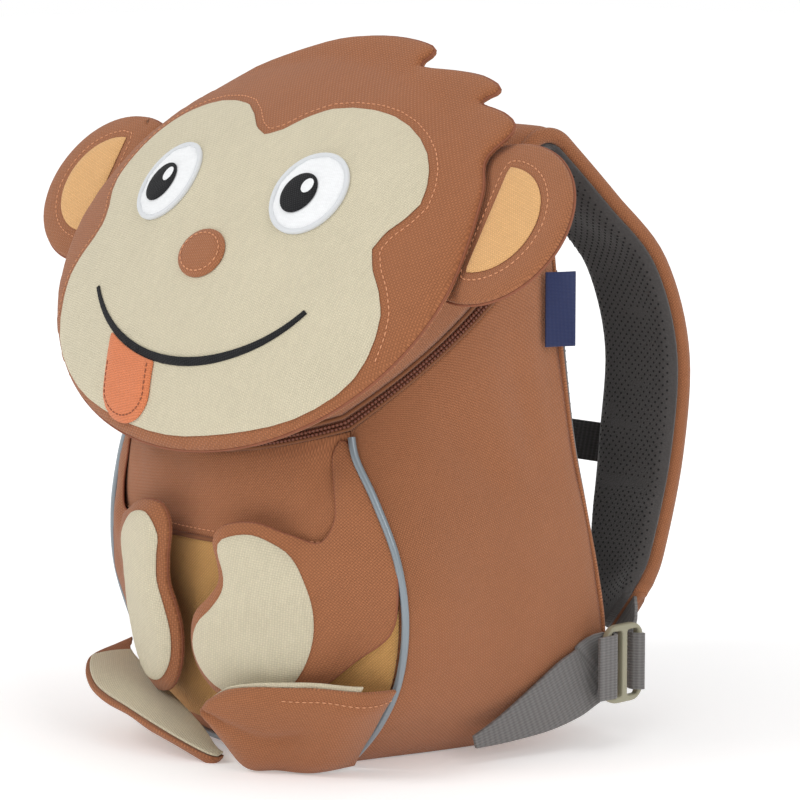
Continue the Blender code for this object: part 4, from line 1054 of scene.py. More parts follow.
def plug_tree():
    """Shallow six-sided plug at each point, turned along the point's own direction."""
    tree, ids, given, result = grow_group("plugs_on_points", ("Radius",))
    plug = add_node(tree, "GeometryNodeMeshCylinder", {
        "Vertices": 6, "Radius": given.outputs["Radius"], "Depth": PLUG_DEPTH})
    out = add_node(tree, "GeometryNodeInputNamedAttribute", {"Name": "out"}, data_type="FLOAT_VECTOR")
    turn = add_node(tree, "FunctionNodeAlignRotationToVector", {"Vector": out.outputs["Attribute"]}, axis="Z")
    copies = add_node(tree, "GeometryNodeInstanceOnPoints", {
        "Points": given.outputs["Geometry"], "Instance": plug.outputs["Mesh"], "Rotation": turn.outputs[0]})
    finish_tree(tree, given, result, copies.outputs[0])
    return tree, ids


BEADS = bead_tree()
PLUGS = plug_tree()


# %% Lines of beads and fields of plugs
def grown(name, mesh, group, **values):
    """Plain mesh that a node group makes of a mesh of points and lines."""
    thing = linked(name, mesh)
    modifier = thing.modifiers.new("grow", "NODES")
    modifier.node_group, ids = group
    for label, value in values.items():
        modifier[ids[label]] = value
    return applied(thing)


def beads(name, lines, finish, slot, *nodes, pitch=0.0025, length=0.0018, radius=0.00028):
    """Stitches or teeth along open lines of points."""
    points, edges = [], []
    for line in lines:
        start = len(points)
        points += [tuple(spot) for spot in line]
        edges += [(start + k, start + k + 1) for k in range(len(line) - 1)]
    mesh = bpy.data.meshes.new(name)
    mesh.from_pydata(points, edges, [])
    made = grown(name, mesh, BEADS, Pitch=pitch, Length=length, Radius=radius, Material=finish)
    keep(made, finish, slot, *nodes)


def plugs(name, places, finish, slot, radius=0.0005):
    """Dark plugs that stand for the holes of the mesh, painted shade inside each hole."""
    mesh = bpy.data.meshes.new(name)
    mesh.from_pydata([tuple(spot) for spot, out in places], [], [])
    outs = mesh.attributes.new("out", "FLOAT_VECTOR", "POINT")
    outs.data.foreach_set("vector", [value for spot, out in places for value in out])
    made = keep(grown(name, mesh, PLUGS, Radius=radius, Material=finish), finish, slot)
    made.data.shade_flat()


# %% Cords
def add_line(curve, spots, closed):
    """Straight runs through points, added to a curve."""
    line = curve.splines.new("POLY")
    line.points.add(len(spots) - 1)
    for knot, spot in zip(line.points, spots):
        knot.co = (*spot, 1.0)
    line.use_cyclic_u = closed


def cord(name, line, radius, closed=False, sides=2):
    """Round cord along a line of points."""
    curve = bpy.data.curves.new(name, "CURVE")
    curve.dimensions = "3D"
    curve.bevel_depth = radius
    curve.bevel_resolution = sides
    curve.use_fill_caps = True
    add_line(curve, line, closed)
    return applied(linked(name, curve))


# %% [markdown]
# ## The body
#
# The body is five panels sewn edge to edge: front, two sides, back and base. Each is its own closed sheet,
# pulled in along its seams, and they are joined as one object. The sides bulge, as the photograph's side
# does, and carry the soft dents under the zip.

# %% Body panels
FRONT_GRID, SIDE_GRID, BACK_GRID, ROWS = 40, 32, 24, 56
BASE_GRID, BASE_ROWS = 16, 10
BASE_LIFT = 0.0002
CLOTH = 0.0013


def shares(count):
    """Even places from 0 to 1."""
    return [k / count for k in range(count + 1)]


def panel(name, skin, places, sign=1):
    """One closed panel of the body from the floor to the zip."""
    rows = [TOP_ROW * i / ROWS for i in range(ROWS + 1)]
    return sheet(name, *[[[mirrored(skin(place, row, out), sign) for place in places] for row in rows]
                         for out in (-CLOTH, 0.0)])


def base_panel():
    """Base cloth between the bottom edges of the four panels."""
    front, rear = [[surface(-1 + 2 * k / BASE_GRID, 0) for k in range(BASE_GRID + 1)]
                   for surface in (front_point, back_point)]
    grid = [[mix(end, start, share) for start, end in zip(front, rear)] for share in shares(BASE_ROWS)]
    return sheet("base_panel", *[[[point + Vector((0, 0, up)) for point in line] for line in grid]
                                 for up in (BASE_LIFT, CLOTH)])


def joined(name, things):
    """Several objects as one."""
    work = bmesh.new()
    for thing in things:
        work.from_mesh(thing.data)
    mesh = bpy.data.meshes.new(name)
    work.to_mesh(mesh)
    work.free()
    for thing in things:
        bpy.data.objects.remove(thing, do_unlink=True)
    return linked(name, mesh)


body_panels = [
    panel("front_panel", front_skin, [2 * share - 1 for share in shares(FRONT_GRID)]),
    panel("right_panel", side_skin, shares(SIDE_GRID)),
    panel("left_panel", side_skin, shares(SIDE_GRID), -1),
    panel("back_panel", back_skin, [2 * share - 1 for share in shares(BACK_GRID)]),
    base_panel(),
]
keep(joined("body_cloth", body_panels), BROWN, "brown_cloth", "body_shell")

# %% [markdown]
# ## Belly and its hem
#
# The belly is a second, ochre cloth under a brown chest whose lower edge is folded and stitched down. The
# ochre sheet lies a fraction of a millimetre over the front, and the chest's hem gets its row of stitches.

# %% Belly panel
BELLY_FIRST, BELLY_TALL, BELLY_WIDE = 1.5, 3.55, 0.975
HEM_ROW, HEM_WIDE, HEM_LIFT = 5.23, 0.93, 0.0001
FOLD_ROW, FOLD_WIDE = 5.08, 0.97


def belly_grid(out):
    """Grid of the belly over the front cloth."""
    rows = [BELLY_FIRST + BELLY_TALL * share for share in shares(36)]
    return [[front_skin(BELLY_WIDE * (2 * share - 1), row, out) for share in shares(FRONT_GRID)]
            for row in rows]


def front_line(row, wide, out):
    """Line across the front panel."""
    return [front_skin(wide * (2 * share - 1), row, out) for share in shares(60)]


keep(sheet("belly_cloth", belly_grid(0.0003), belly_grid(0.0011)), OCHRE, "ochre_cloth", "belly_panel")
beads("belly_hem_stitches", [front_line(HEM_ROW, HEM_WIDE, HEM_LIFT)], THREAD, "brown_cloth")
keep(cord("chest_hem_fold", front_line(FOLD_ROW, FOLD_WIDE, 0.0006), 0.0009), BROWN_HEAD, "brown_cloth")

# %% [markdown]
# ## Arms and palms
#
# Each arm is a padded flap sewn into the front seam. It is thin at the seam and full at the hand, and the
# hand stands off the belly. A cream palm lies on it, with a row of stitches beside it.

# %% Stitches, seams and patches
STITCH_LIFT = 0.0001
STITCH_AWAY = 0.0030
SEAM_OUT = 0.0001
PATCH_ROUND = 0.0003


def swell(depth, soft, least=0.45):
    """Share of a pad's full height at a distance from its edge, which rises over a soft width."""
    return least + (1 - least) * math.sqrt(ease(depth / soft))


def patch_rise(depth):
    """Height of a thin patch over the cloth below it, at a distance from its edge."""
    return STITCH_LIFT + 0.0009 * (0.5 + 0.5 * ease(depth / 0.002))


def seam_cord(name, edge, radius):
    """Dark thread that closes a pad's edge."""
    keep(cord(name, edge, radius, closed=True, sides=1), BROWN_THREAD, "brown_cloth")


# %% Arms
ARM_FOLDS = [
    Fold(0.82, 0.36, 0.60, 0.30, 0.0080, 0.0022),
    Fold(0.80, 0.46, 0.62, 0.40, 0.0090, -0.0016),
    Fold(0.50, 0.30, 0.20, 0.27, 0.0060, 0.0011),
]

# Shares of half the width: where an outline starts to be drawn out to the seam, over what width, by how
# much and how far at most.
SEAM_START, SEAM_OVER, SEAM_DRAWN, SEAM_LIMIT = 0.68, 0.14, 0.075, 0.95

# The root beside the seam lies closer to the front: start and run across and upward, and how much closer.
ROOT_ACROSS, ROOT_ACROSS_OVER = 0.48, 0.14
ROOT_UP, ROOT_UP_OVER = 0.37, 0.09
ROOT_SUNK = 0.0012


def build_arm(side, sign):
    """Arm flap, palm and stitches of one side."""
    def scaled(outline):
        loop = [(sign * x * HALF_WIDTH, z * BODY_HEIGHT) for x, z in smooth_loop(outline, 4)]
        return even_loop(loop if sign > 0 else loop[::-1], 0.0026)

    def away(across):
        return ease(1.15 * (1.0 - abs(across) / (0.90 * HALF_WIDTH)))

    def lift(across):
        return 2 * GAP + SKIN + ARM_LIFT * away(across)

    def crown(across, depth):
        return (ARM_SEAM + (ARM_PAD + 0.0012) * away(across)) * swell(depth, 0.009)

    def over_front(across, height, out):
        outer = min(0.0, front_relief(Vector((across, 0, height)), across / HALF_WIDTH)) * (1 - away(across))
        root = (ease((abs(across) / HALF_WIDTH - ROOT_ACROSS) / ROOT_ACROSS_OVER)
                * ease((height / BODY_HEIGHT - ROOT_UP) / ROOT_UP_OVER))
        outer -= root * (ROOT_SUNK + ARM_LIFT * away(across))
        rough = uneven((across, height, 0.3), 0.014, 0.0009)
        return wall_place(front_point, across, height,
                          out + outer + rough - fold_depth(across, height, ARM_FOLDS, sign * HALF_WIDTH))

    arm_outline, palm_outline = ARM_OUTLINES[side]
    arm = scaled([(min(SEAM_LIMIT, x + SEAM_DRAWN * ease((x - SEAM_START) / SEAM_OVER)), z)
                  for x, z in arm_outline])
    palm = scaled(palm_outline)

    def top(across, height):
        return lift(across) + crown(across, edge_distance((across, height), arm))

    made = flap("arm_cloth_" + side, arm, over_front, lambda x, z, depth: lift(x),
                lambda x, z, depth: lift(x) + crown(x, depth), 0.0030)
    keep(rounded(made, 0.0008, 2), BROWN_HEAD if sign < 0 else BROWN, "brown_cloth", "arm_" + side, pad=0.4)
    made = flap("palm_cloth_" + side, palm, over_front, lambda x, z, depth: top(x, z) + STITCH_LIFT,
                lambda x, z, depth: top(x, z) + patch_rise(depth), 0.0030)
    keep(rounded(made, PATCH_ROUND, 2), CREAM, "cream_cloth", "palm_" + side)
    lines = kept_runs(offset_loop(palm, STITCH_AWAY),
                      lambda spot: inside(spot, arm) and edge_distance(spot, arm) > 0.0035)
    rows = [[over_front(*spot, top(*spot) + STITCH_LIFT) for spot in line] for line in lines]
    beads("palm_stitches_" + side, rows, THREAD, "brown_cloth")
    edge = [over_front(*spot, lift(spot[0]) + 0.5 * crown(spot[0], 0.0))
            for spot in offset_loop(arm, SEAM_OUT)]
    seam_cord("arm_seam_" + side, edge, 0.00045)


for side, sign in SIDES:
    build_arm(side, sign)

# %% [markdown]
# ## Feet
#
# A foot is a flap too, cream inside and brown outside, that stands up from the lower seam. The right one
# shows its brown side with a crease across, the left one lies open. Both are sheets between a far edge at
# the body and a near edge, taken from the foot tables.

# %% Feet
FOOT_ROWS, FOOT_LINES = 44, 20
SOLE_ROWS, SOLE_LINES = 34, 14


def foot_line(table, row, places):
    """Points from a foot's far edge to its near edge at a row."""
    cut = smooth_row(table, row)
    far, near = body_place(*cut[:3]), body_place(*cut[3:])
    return [mix(far, near, place) for place in places]


def build_foot(side, table, crease):
    """Foot flap, its sole and its stitches."""
    last = len(table) - 1
    grid = [foot_line(table, last * share, shares(FOOT_LINES)) for share in shares(FOOT_ROWS)]
    normals = grid_normals(grid)

    def height(i, j):
        edge = min(i, FOOT_ROWS - i) / 5, min(j, FOOT_LINES - j) / 4
        full = math.sqrt(ease(min(edge[0], 1))) * math.sqrt(ease(min(edge[1], 1)))
        fold = crease * math.exp(-((j / FOOT_LINES - 0.45 - 0.006 * i) / 0.07) ** 2) * ease((i - 8) / 10)
        return FOOT_PAD * (0.35 + 0.80 * full) - fold + uneven(grid[i][j], 0.016, 0.0009)

    layers = [[[grid[i][j] + normals[i][j] * (height(i, j) if top else GAP) for j in range(FOOT_LINES + 1)]
               for i in range(FOOT_ROWS + 1)] for top in (False, True)]
    made = rounded(sheet("foot_cloth_" + side, *layers), 0.0007, 2)
    keep(made, BROWN, "brown_cloth", "leg_" + side, pad=0.35)
    stitched = [layers[1][i][2] + normals[i][2] * 0.0002 for i in range(1, 22 if crease else 40)]
    beads("foot_stitches_" + side, [stitched], THREAD, "brown_cloth")
    places = [mix(*SOLES[side], share) for share in shares(SOLE_LINES)]
    sole = [foot_line(table, last * (0.16 + 0.80 * share), places) for share in shares(SOLE_ROWS)]
    over = grid_normals(sole)
    sunk = [SKIN + 0.0006 * math.sin(math.pi * j / SOLE_LINES) for j in range(SOLE_LINES + 1)]
    lower = [[spot - out * depth for spot, out, depth in zip(*line, sunk)] for line in zip(sole, over)]
    made = rounded(sheet("sole_cloth_" + side, lower, sole), PATCH_ROUND, 2)
    keep(made, CREAM, "cream_cloth", "sole_" + side)


build_foot("right", RIGHT_FOOT, 0.0016)
build_foot("left", LEFT_FOOT, 0.0)

# %% [markdown]
# ## Reflective piping
#
# A grey reflective tube is sewn into the front seam on both sides and along the bottom. It is a round cord
# swept along the seam's own curve.

# %% Piping
def piping_line():
    """Middle of the piping, from the left top round the bottom to the right top."""
    spots = []
    reach = 0.65 * PIPING_RADIUS
    corner = Vector((0.64, -0.64, -0.42))
    for share in shares(70):
        row = TOP_ROW - 0.35 - share * (TOP_ROW - 1.35)
        outward = mix(corner, Vector((0.70, -0.71, 0)), ease((row - 1) / 1.5))
        spots.append(side_point(0.0, row) + outward.normalized() * reach)
    for share in shares(40)[1:]:
        here = front_point(0.98 * (1 - share), 1.0 - 0.12 * ease(share))
        outward = mix(corner, Vector((0, -0.86, -0.5)), ease(share * 2.6))
        spots.append(here + outward.normalized() * (reach + 0.0002))
    return spots + [mirrored(point, -1) for point in reversed(spots[:-1])]


keep(cord("piping_tube", piping_line(), PIPING_RADIUS, sides=4), PIPE, "reflective_piping", "front_piping")

# %% [markdown]
# ## Lid band and zip
#
# The head is joined to the body by a brown band and a coil zip with brown teeth. The band is a ring of
# cloth between the body's rim and the back of the head panel, and the teeth are two rows of beads on the
# tape.

# %% Lid band
rim = body_ring(TOP_ROW)
rim_count = len(rim)
head_ring = lid_ring()
zip_shares = zip_share()


def around(k):
    """Outward direction of the lid band at a ring place."""
    run = rim[(k + 1) % rim_count] - rim[k - 1]
    return run.cross(head_ring[k] - rim[k]).normalized()


def level(k, height, out=0.0):
    """Place on the lid band at a height over the body's rim."""
    k %= rim_count
    span = (head_ring[k] - rim[k]).length
    return mix(rim[k], head_ring[k], height / span) + around(k) * out


zip_tops = [max(GAP, ZIP_SEAM * min(1.0, 8 * share), ZIP_WIDTH * share) for share in zip_shares]


def gusset_layer(out):
    """Grid of the lid band, closed round the ring."""
    grid = []
    for share in shares(12):
        line = []
        arch = math.sin(math.pi * share)
        for k in range(rim_count + 1):
            n = k % rim_count
            span = (head_ring[n] - rim[n]).length
            swell = 0.0014 * arch if span > 0.02 else 0.0
            here = level(n, mix(zip_tops[n] + GAP, span, share))
            line.append(here + around(n) * (out + swell + uneven(here, 0.03, 0.0006) * arch))
        grid.append(line)
    return grid


def ring_sheet(name, inner, outer):
    """Closed band whose grids meet themselves round a ring."""
    rows, count = len(inner), len(inner[0]) - 1
    points = [point for layer in (inner, outer) for line in layer for point in line[:-1]]
    shift = rows * count
    faces = []
    for i in range(rows - 1):
        for k in range(count):
            a, b = i * count + k, i * count + (k + 1) % count
            faces += [(a, b, b + count, a + count),
                      (shift + b, shift + a, shift + a + count, shift + b + count)]
    for k in range(count):
        n, top = (k + 1) % count, (rows - 1) * count
        faces += [(n, k, shift + k, shift + n), (top + k, top + n, shift + top + n, shift + top + k)]
    spots = grid_spots(outer)
    kept = [spot for i in range(rows) for spot in spots[i * (count + 1):(i + 1) * (count + 1) - 1]]
    return link_mesh(name, points, faces, kept + kept)


keep(ring_sheet("lid_band", gusset_layer(-CLOTH), gusset_layer(0.0)), BROWN_HEAD, "brown_cloth", "lid_gusset")

# %% Zip
first_back = FRONT_STEPS + SIDE_STEPS
zip_run = list(range(first_back + BACK_STEPS + 1, rim_count)) + list(range(first_back))
tape = [[[level(k, mix(GAP, zip_tops[k], share), out) for k in zip_run] for share in shares(4)]
        for out in (-0.0010, 0.0)]
keep(sheet("zip_tape_cloth", *tape), TAPE, "zip_brown", "zip_tape")
coil_run = zip_run[3:-3]
coil_rows = [[level(k, zip_tops[k] / 2 + shift, 0.0007) for k in coil_run] for shift in (-0.0011, 0.0011)]
beads("zip_coil_teeth", coil_rows, ZIP, "zip_brown", "zip_teeth", pitch=0.00155, length=0.00135,
      radius=0.00085)
for name, height in (("zip_lower_fold", lambda k: 0.0011),
                     ("zip_upper_fold", lambda k: zip_tops[k] - 0.0006)):
    keep(cord(name, [level(k, height(k), 0.0002) for k in coil_run], 0.0008), BROWN_PLAIN, "brown_cloth")
print("zip run", len(coil_run))

# %% [markdown]
# ## Head panel
#
# The head is a domed foam panel with a stitched edge and three tufts at its top. Its cloth is one flap over
# the outline. The cream face, the eyes, the nose and the smile are cloth laid on it, each a skin that
# follows the same dome. The face is a plain one of this lesson's own layout.

# %% Head cloth
def head_outline():
    """Head panel outline: a wide round head with three hair tufts toward its left ear."""
    angles = [math.radians(degrees) for degrees in range(126, 367, 8)]
    places = [(math.cos(angle), math.sin(angle)) for angle in angles] + HAIR
    return [(across * HEAD_WIDTH / 2, up * HEAD_HEIGHT / 2) for across, up in places]


def face_outline():
    """Cream face: two round lobes over the eyes and a wide jaw."""
    half_wide, half_high = HEAD_WIDTH / 2, HEAD_HEIGHT / 2
    lobe, jaw = FACE_LOBE, FACE_JAW
    shapes = [(sign * lobe["out"], lobe["up"], lobe["wide"], lobe["high"]) for sign in (1, -1)]
    shapes.append((0.0, jaw["up"], jaw["wide"], jaw["high"]))
    outline = []
    for step in range(60):
        angle = 2 * math.pi * step / 60
        ray = Vector((math.cos(angle), math.sin(angle)))
        reach = 0.0
        for out, up, wide, high in shapes:
            near, far = 0.0, 1.6
            for _ in range(160):
                far -= 0.01
                spot = ray * far
                if ((spot.x - out) / wide) ** 2 + ((spot.y - up) / high) ** 2 <= 1:
                    near = far
                    break
            reach = max(reach, near)
        outline.append((ray.x * reach * half_wide, ray.y * reach * half_high))
    return outline


def head_top(p, q, depth=1.0):
    """Outer height of the head cloth at a distance from its edge."""
    return dome(p, q) - 0.0009 * (1 - math.sqrt(ease(depth / 0.005))) + uneven((p, q, 1.0), 0.022, 0.0004)


def over_head(line, out):
    """Line of places moved onto the head cloth."""
    return [head_point(*spot, head_top(*spot) + out) for spot in line]


head_loop = even_loop(smooth_loop(head_outline(), 3), 0.0032)
made = flap("head_cloth", head_loop, head_point, lambda p, q, depth: dome(p, q) - HEAD_PAD, head_top, 0.0042)
keep(rounded(made, 0.0013, 3), BROWN_HEAD, "brown_cloth", "head_front", pad=0.6)
seam_cord("head_seam", [head_point(*spot, dome(*spot) - 0.55 * HEAD_PAD)
                        for spot in offset_loop(head_loop, SEAM_OUT)], 0.00055)


# %% Face cloths
def on_head(name, outline, base, thick, finish, slot, *nodes, step=0.0034, soft=0.0018, edge=0.0003):
    """Cloth skin laid on the head panel."""
    def top(p, q, depth):
        return head_top(p, q) + base + thick * swell(depth, soft)

    made = flap(name, outline, head_point, lambda p, q, depth: head_top(p, q) + base, top, step)
    keep(rounded(made, edge, 2), finish, slot, *nodes)


face_loop = even_loop(smooth_loop(face_outline()[::3], 3), 0.0030)
on_head("face_cloth", face_loop, 0.0002, 0.0008, CREAM, "cream_cloth", "face_panel", step=0.0042)
face_seam = kept_runs(offset_loop(face_loop, STITCH_AWAY),
                      lambda spot: inside(spot, head_loop) and edge_distance(spot, head_loop) > 0.0030)
beads("face_stitches", [over_head(line, STITCH_LIFT) for line in face_seam], THREAD, "brown_cloth")

# %% [markdown]
# ### Eyes, nose and smile
#
# An eye is white satin with a raised embroidered rim, a black disc and a small white highlight. The nose is
# a brown patch stitched inside its edge. The smile is a black satin cord, and a coral tongue hangs from it.

# %% Eyes
FACE_TOP = 0.0010
for side, sign in SIDES:
    across, height = sign * EYE["out"] * HEAD_WIDTH / 2, EYE["up"] * HEAD_HEIGHT / 2
    white = circle(across, height, EYE["radius"], EYE["radius"] * EYE["tall"], 48)
    on_head("eye_cloth_" + side, white, FACE_TOP, 0.0010, WHITE, "white_satin", "eye_white_" + side)
    brim = over_head(offset_loop(white, -0.0008), FACE_TOP + 0.0006)
    keep(cord("eye_rim_" + side, brim, 0.0011, closed=True), WHITE_RIM, "white_satin")
    centre = (across - PUPIL["inward"], height - PUPIL["down"])
    black = circle(*centre, PUPIL["radius"], PUPIL["radius"] * PUPIL["tall"], 36)
    on_head("pupil_cloth_" + side, black, FACE_TOP + 0.0012, 0.0009, BLACK, "black_satin", "pupil_" + side)
    spark = circle(centre[0] + 0.42 * PUPIL["radius"], centre[1] + 0.38 * PUPIL["radius"], 0.0026, 0.0032, 24)
    on_head("pupil_light_" + side, spark, FACE_TOP + 0.0022, 0.0005, WHITE, "white_satin", step=0.002)

# %% Nose and smile
nose_loop = circle(0.0, NOSE["up"] * HEAD_HEIGHT / 2, NOSE["wide"], NOSE["high"], 40)
on_head("nose_cloth", nose_loop, FACE_TOP, 0.0020, BROWN, "brown_cloth", "nose", soft=0.004, edge=0.0005)
nose_line = offset_loop(nose_loop, -0.0022)
beads("nose_stitches", [over_head(nose_line + nose_line[:1], FACE_TOP + 0.0018)], THREAD, "brown_cloth",
      pitch=0.0024)

middle = MOUTH["up"] * HEAD_HEIGHT / 2


def smile_spot(degrees, radius=MOUTH["radius"]):
    """Place on the smile's arc."""
    angle = math.radians(degrees)
    return radius * math.cos(angle), middle + radius * MOUTH["squash"] * math.sin(angle)


smile = []
for ring, order in ((1, 1), (-1, -1)):
    for share in shares(60)[::order]:
        taper = 0.45 + 0.55 * math.sin(math.pi * (0.05 + 0.90 * share))
        smile.append(smile_spot(mix(MOUTH["start"], MOUTH["end"], share),
                                MOUTH["radius"] + ring * MOUTH["thick"] * taper))
on_head("smile_cloth", smile, FACE_TOP, 0.0014, BLACK, "black_satin", "mouth", step=0.0030, edge=0.0005)

# %% Tongue
root = MOUTH["radius"] * math.cos(math.radians(TONGUE["angle"]))
tongue = []
for share in shares(12):
    across = root + TONGUE["wide"] * (1 - 2 * share)
    drop = math.sqrt(MOUTH["radius"] ** 2 - across ** 2)
    tongue.append((across, middle - MOUTH["squash"] * drop - 0.9 * MOUTH["thick"]))
low = min(height for across, height in tongue)
for k in range(21):
    turn = math.radians(190 + 8 * k)
    tongue.append((root + TONGUE["wide"] * math.cos(turn),
                   low - TONGUE["long"] * (0.45 - 0.5 * math.sin(turn))))
tongue = even_loop(tongue, 0.0022)
on_head("tongue_cloth", tongue, FACE_TOP, 0.0024, CORAL, "coral_cloth", "tongue", step=0.0026, soft=0.005,
        edge=0.0006)
hem_line = kept_runs(offset_loop(tongue, -0.0022), lambda spot: spot[1] < low - 0.002)
beads("tongue_stitches", [over_head(line, FACE_TOP + 0.0020) for line in hem_line], BROWN_THREAD,
      "coral_cloth", pitch=0.0022)

# %% [markdown]
# ## Ears
#
# The ears are padded half discs held between the head panel and its band. An apricot cloth shows in front,
# and a round of stitches runs on the brown beside it.

# %% Ears
EAR_FRONT = -HEAD_PAD - GAP


def ear_outline(radius, start, count, sign):
    """Half disc outline of an ear."""
    loop = [(max(start, x), y) for x, y in circle(EAR_OUT, EAR_UP, radius, radius * 0.92, count)]
    kept = [loop[0]]
    for spot in loop[1:]:
        if (Vector(spot) - Vector(kept[-1])).length > 0.0006:
            kept.append(spot)
    kept = [(sign * x, y) for x, y in kept]
    return even_loop(kept if sign > 0 else kept[::-1], 0.0030)


def ear_top(depth):
    """Front height of the ear, full in its middle."""
    return EAR_FRONT - 0.0016 * (1 - math.sqrt(ease(depth / 0.007)))


def build_ear(side, sign):
    """Padded ear, its inner cloth, stitches and seam of one side."""
    ear = ear_outline(EAR_RADIUS, LID_RING_WIDTH / 2 + 0.0040, 90, sign)
    inner = ear_outline(EAR_RADIUS * 0.66, HEAD_WIDTH / 2 + 0.0012, 60, sign)
    made = flap("ear_cloth_" + side, ear, head_point,
                lambda p, q, depth: EAR_FRONT - EAR_PAD * swell(depth, 0.006, 0.60),
                lambda p, q, depth: ear_top(depth), 0.0034)
    keep(rounded(made, 0.0012, 3), BROWN_PLAIN, "brown_cloth", "ear_" + side, pad=0.6)
    made = flap("ear_inner_cloth_" + side, inner, head_point, lambda p, q, depth: EAR_FRONT + STITCH_LIFT,
                lambda p, q, depth: EAR_FRONT + patch_rise(depth), 0.0034)
    keep(rounded(made, PATCH_ROUND, 2), APRICOT, "apricot_cloth", "ear_inner_" + side)
    lines = kept_runs(offset_loop(inner, STITCH_AWAY),
                      lambda spot: abs(spot[0]) > HEAD_WIDTH / 2 - 0.004 and inside(spot, ear))
    rows = [[head_point(*spot, ear_top(edge_distance(spot, ear)) + STITCH_LIFT) for spot in line]
            for line in lines]
    beads("ear_stitches_" + side, rows, THREAD, "brown_cloth")
    seam_cord("ear_seam_" + side, [head_point(*spot, EAR_FRONT - 0.55 * EAR_PAD)
                                   for spot in offset_loop(ear, SEAM_OUT)], 0.00055)


for side, sign in SIDES:
    build_ear(side, sign)

# %% [markdown]
# ## Back pad
#
# The pad against the back is the same spacer mesh as the strap linings, over foam in three channels, with
# holes in staggered rows, each a dark plug of painted shade.

# %% Back pad
PAD_WIDE = 0.97
PAD_FIRST, PAD_LAST = 2.5, 7.5
PAD_EDGE = 0.0012
CHANNEL_PLACE, CHANNEL_DEEP = 0.36, 0.0022


def back_pad_height(across, row):
    """Thickness of the pad at a place of the back panel."""
    edge = min((1 - abs(across) / PAD_WIDE) / 0.10, (row - PAD_FIRST) / 0.5, (PAD_LAST - row) / 0.4)
    channel = CHANNEL_DEEP * math.exp(-((abs(across) - CHANNEL_PLACE) / 0.035) ** 2)
    return PAD_EDGE + (BACK_PAD - PAD_EDGE) * math.sqrt(ease(edge)) - channel * ease(edge)


pad_rows = [PAD_FIRST + (PAD_LAST - PAD_FIRST) * share for share in shares(50)]
pad_places = [PAD_WIDE * (2 * share - 1) for share in shares(56)]
pad_layers = [[[back_skin(place, row, SKIN_GAP + (back_pad_height(place, row) if top else 0.0))
                for place in pad_places] for row in pad_rows] for top in (False, True)]
keep(sheet("back_pad_mesh", *pad_layers), MESH, "grey_mesh", "back_pad", pad=0.6)
# Dark plugs at the pad's holes, painted shade inside each hole.
holes = []
for i in range(2, 96):
    for j in range(-25, 26):
        across, row = (j + 0.5 * (i % 2)) / 26.5, 2.62 + i * 0.050
        if row < 7.38 and abs(across) < 0.92 and abs(abs(across) - CHANNEL_PLACE) > 0.03:
            out = -panel_normal(back_point, across, row)
            holes.append((back_skin(across, row, SKIN_GAP + back_pad_height(across, row) - 0.0001), out))
plugs("back_pad_hole_shades", holes, HOLE_SHADE, "grey_mesh")
print("back pad holes", len(holes))

# %% [markdown]
# ## Shoulder straps
#
# A strap is a brown outer cloth with a bound edge and a soft mesh lining inside it, on one route over the
# shoulder and down to the buckle. Both are swept along the route's frames: the outer with a rounded edge
# band, the lining as a full cushion with cross folds where the route bends.

# %% Strap route
STRAP_SECTIONS = 96


def strap_frames():
    """Places, route directions, width directions, outward directions and widths along the strap."""
    root = STRAP_ROUTE[0]
    under = [root.x * HALF_WIDTH + share * STRAP_WIDTH for share in (-0.5, 0.0, 0.5)]
    back = max(wall_place(back_point, across, root.z * BODY_HEIGHT, 0.0).y for across in under)
    start = back + SKIN_GAP + STRAP_OUTER
    spots = []
    last = len(STRAP_ROUTE) - 1
    for step in range(STRAP_SECTIONS + 1):
        cut = smooth_row(STRAP_ROUTE, last * step / STRAP_SECTIONS)
        reach = start + cut.reach * STRAP_REACH
        spots.append((Vector((cut.x * HALF_WIDTH, reach, cut.z * BODY_HEIGHT)), cut))
    frames = []
    for k, (spot, cut) in enumerate(spots):
        run = (spots[min(k + 1, STRAP_SECTIONS)][0] - spots[max(k - 1, 0)][0]).normalized()
        square = cut.roll / STRAP_ROUTE[-1].roll
        across = (Vector((1, 0, 0)) - run * run.x * square).normalized()
        outward = across.cross(run).normalized()
        roll = math.radians(cut.roll)
        turned = across * math.cos(roll) - outward * math.sin(roll)
        faced = outward * math.cos(roll) + across * math.sin(roll)
        frames.append((spot, run, turned, faced, cut.width * STRAP_WIDTH))
    return frames


strap_route = strap_frames()
strap_runs = [0.0]
for before, after in zip(strap_route, strap_route[1:]):
    strap_runs.append(strap_runs[-1] + (after[0] - before[0]).length)
print("strap length", round(strap_runs[-1], 3))


def tube(name, sections, rows_uv):
    """Closed tube through like sections, whose UV map runs round and along it."""
    count = len(sections[0])
    points = [point for section in sections for point in section]
    faces = [tuple(range(count)), tuple(range(len(points) - 1, len(points) - count - 1, -1))]
    for lower in range(0, len(points) - count, count):
        upper = lower + count
        faces += [(lower + (k + 1) % count, lower + k, upper + k, upper + (k + 1) % count)
                  for k in range(count)]
    turns = [0.0]
    wide = sections[len(sections) // 2]
    for start, end in zip(wide, wide[1:]):
        turns.append(turns[-1] + (end - start).length)
    return link_mesh(name, points, faces, [(turn, run) for run in rows_uv for turn in turns])


# %% Strap outer and lining
SPLIT = STRAP_OUTER - STRAP_PAD
LINING_TOP = SPLIT - 0.0002


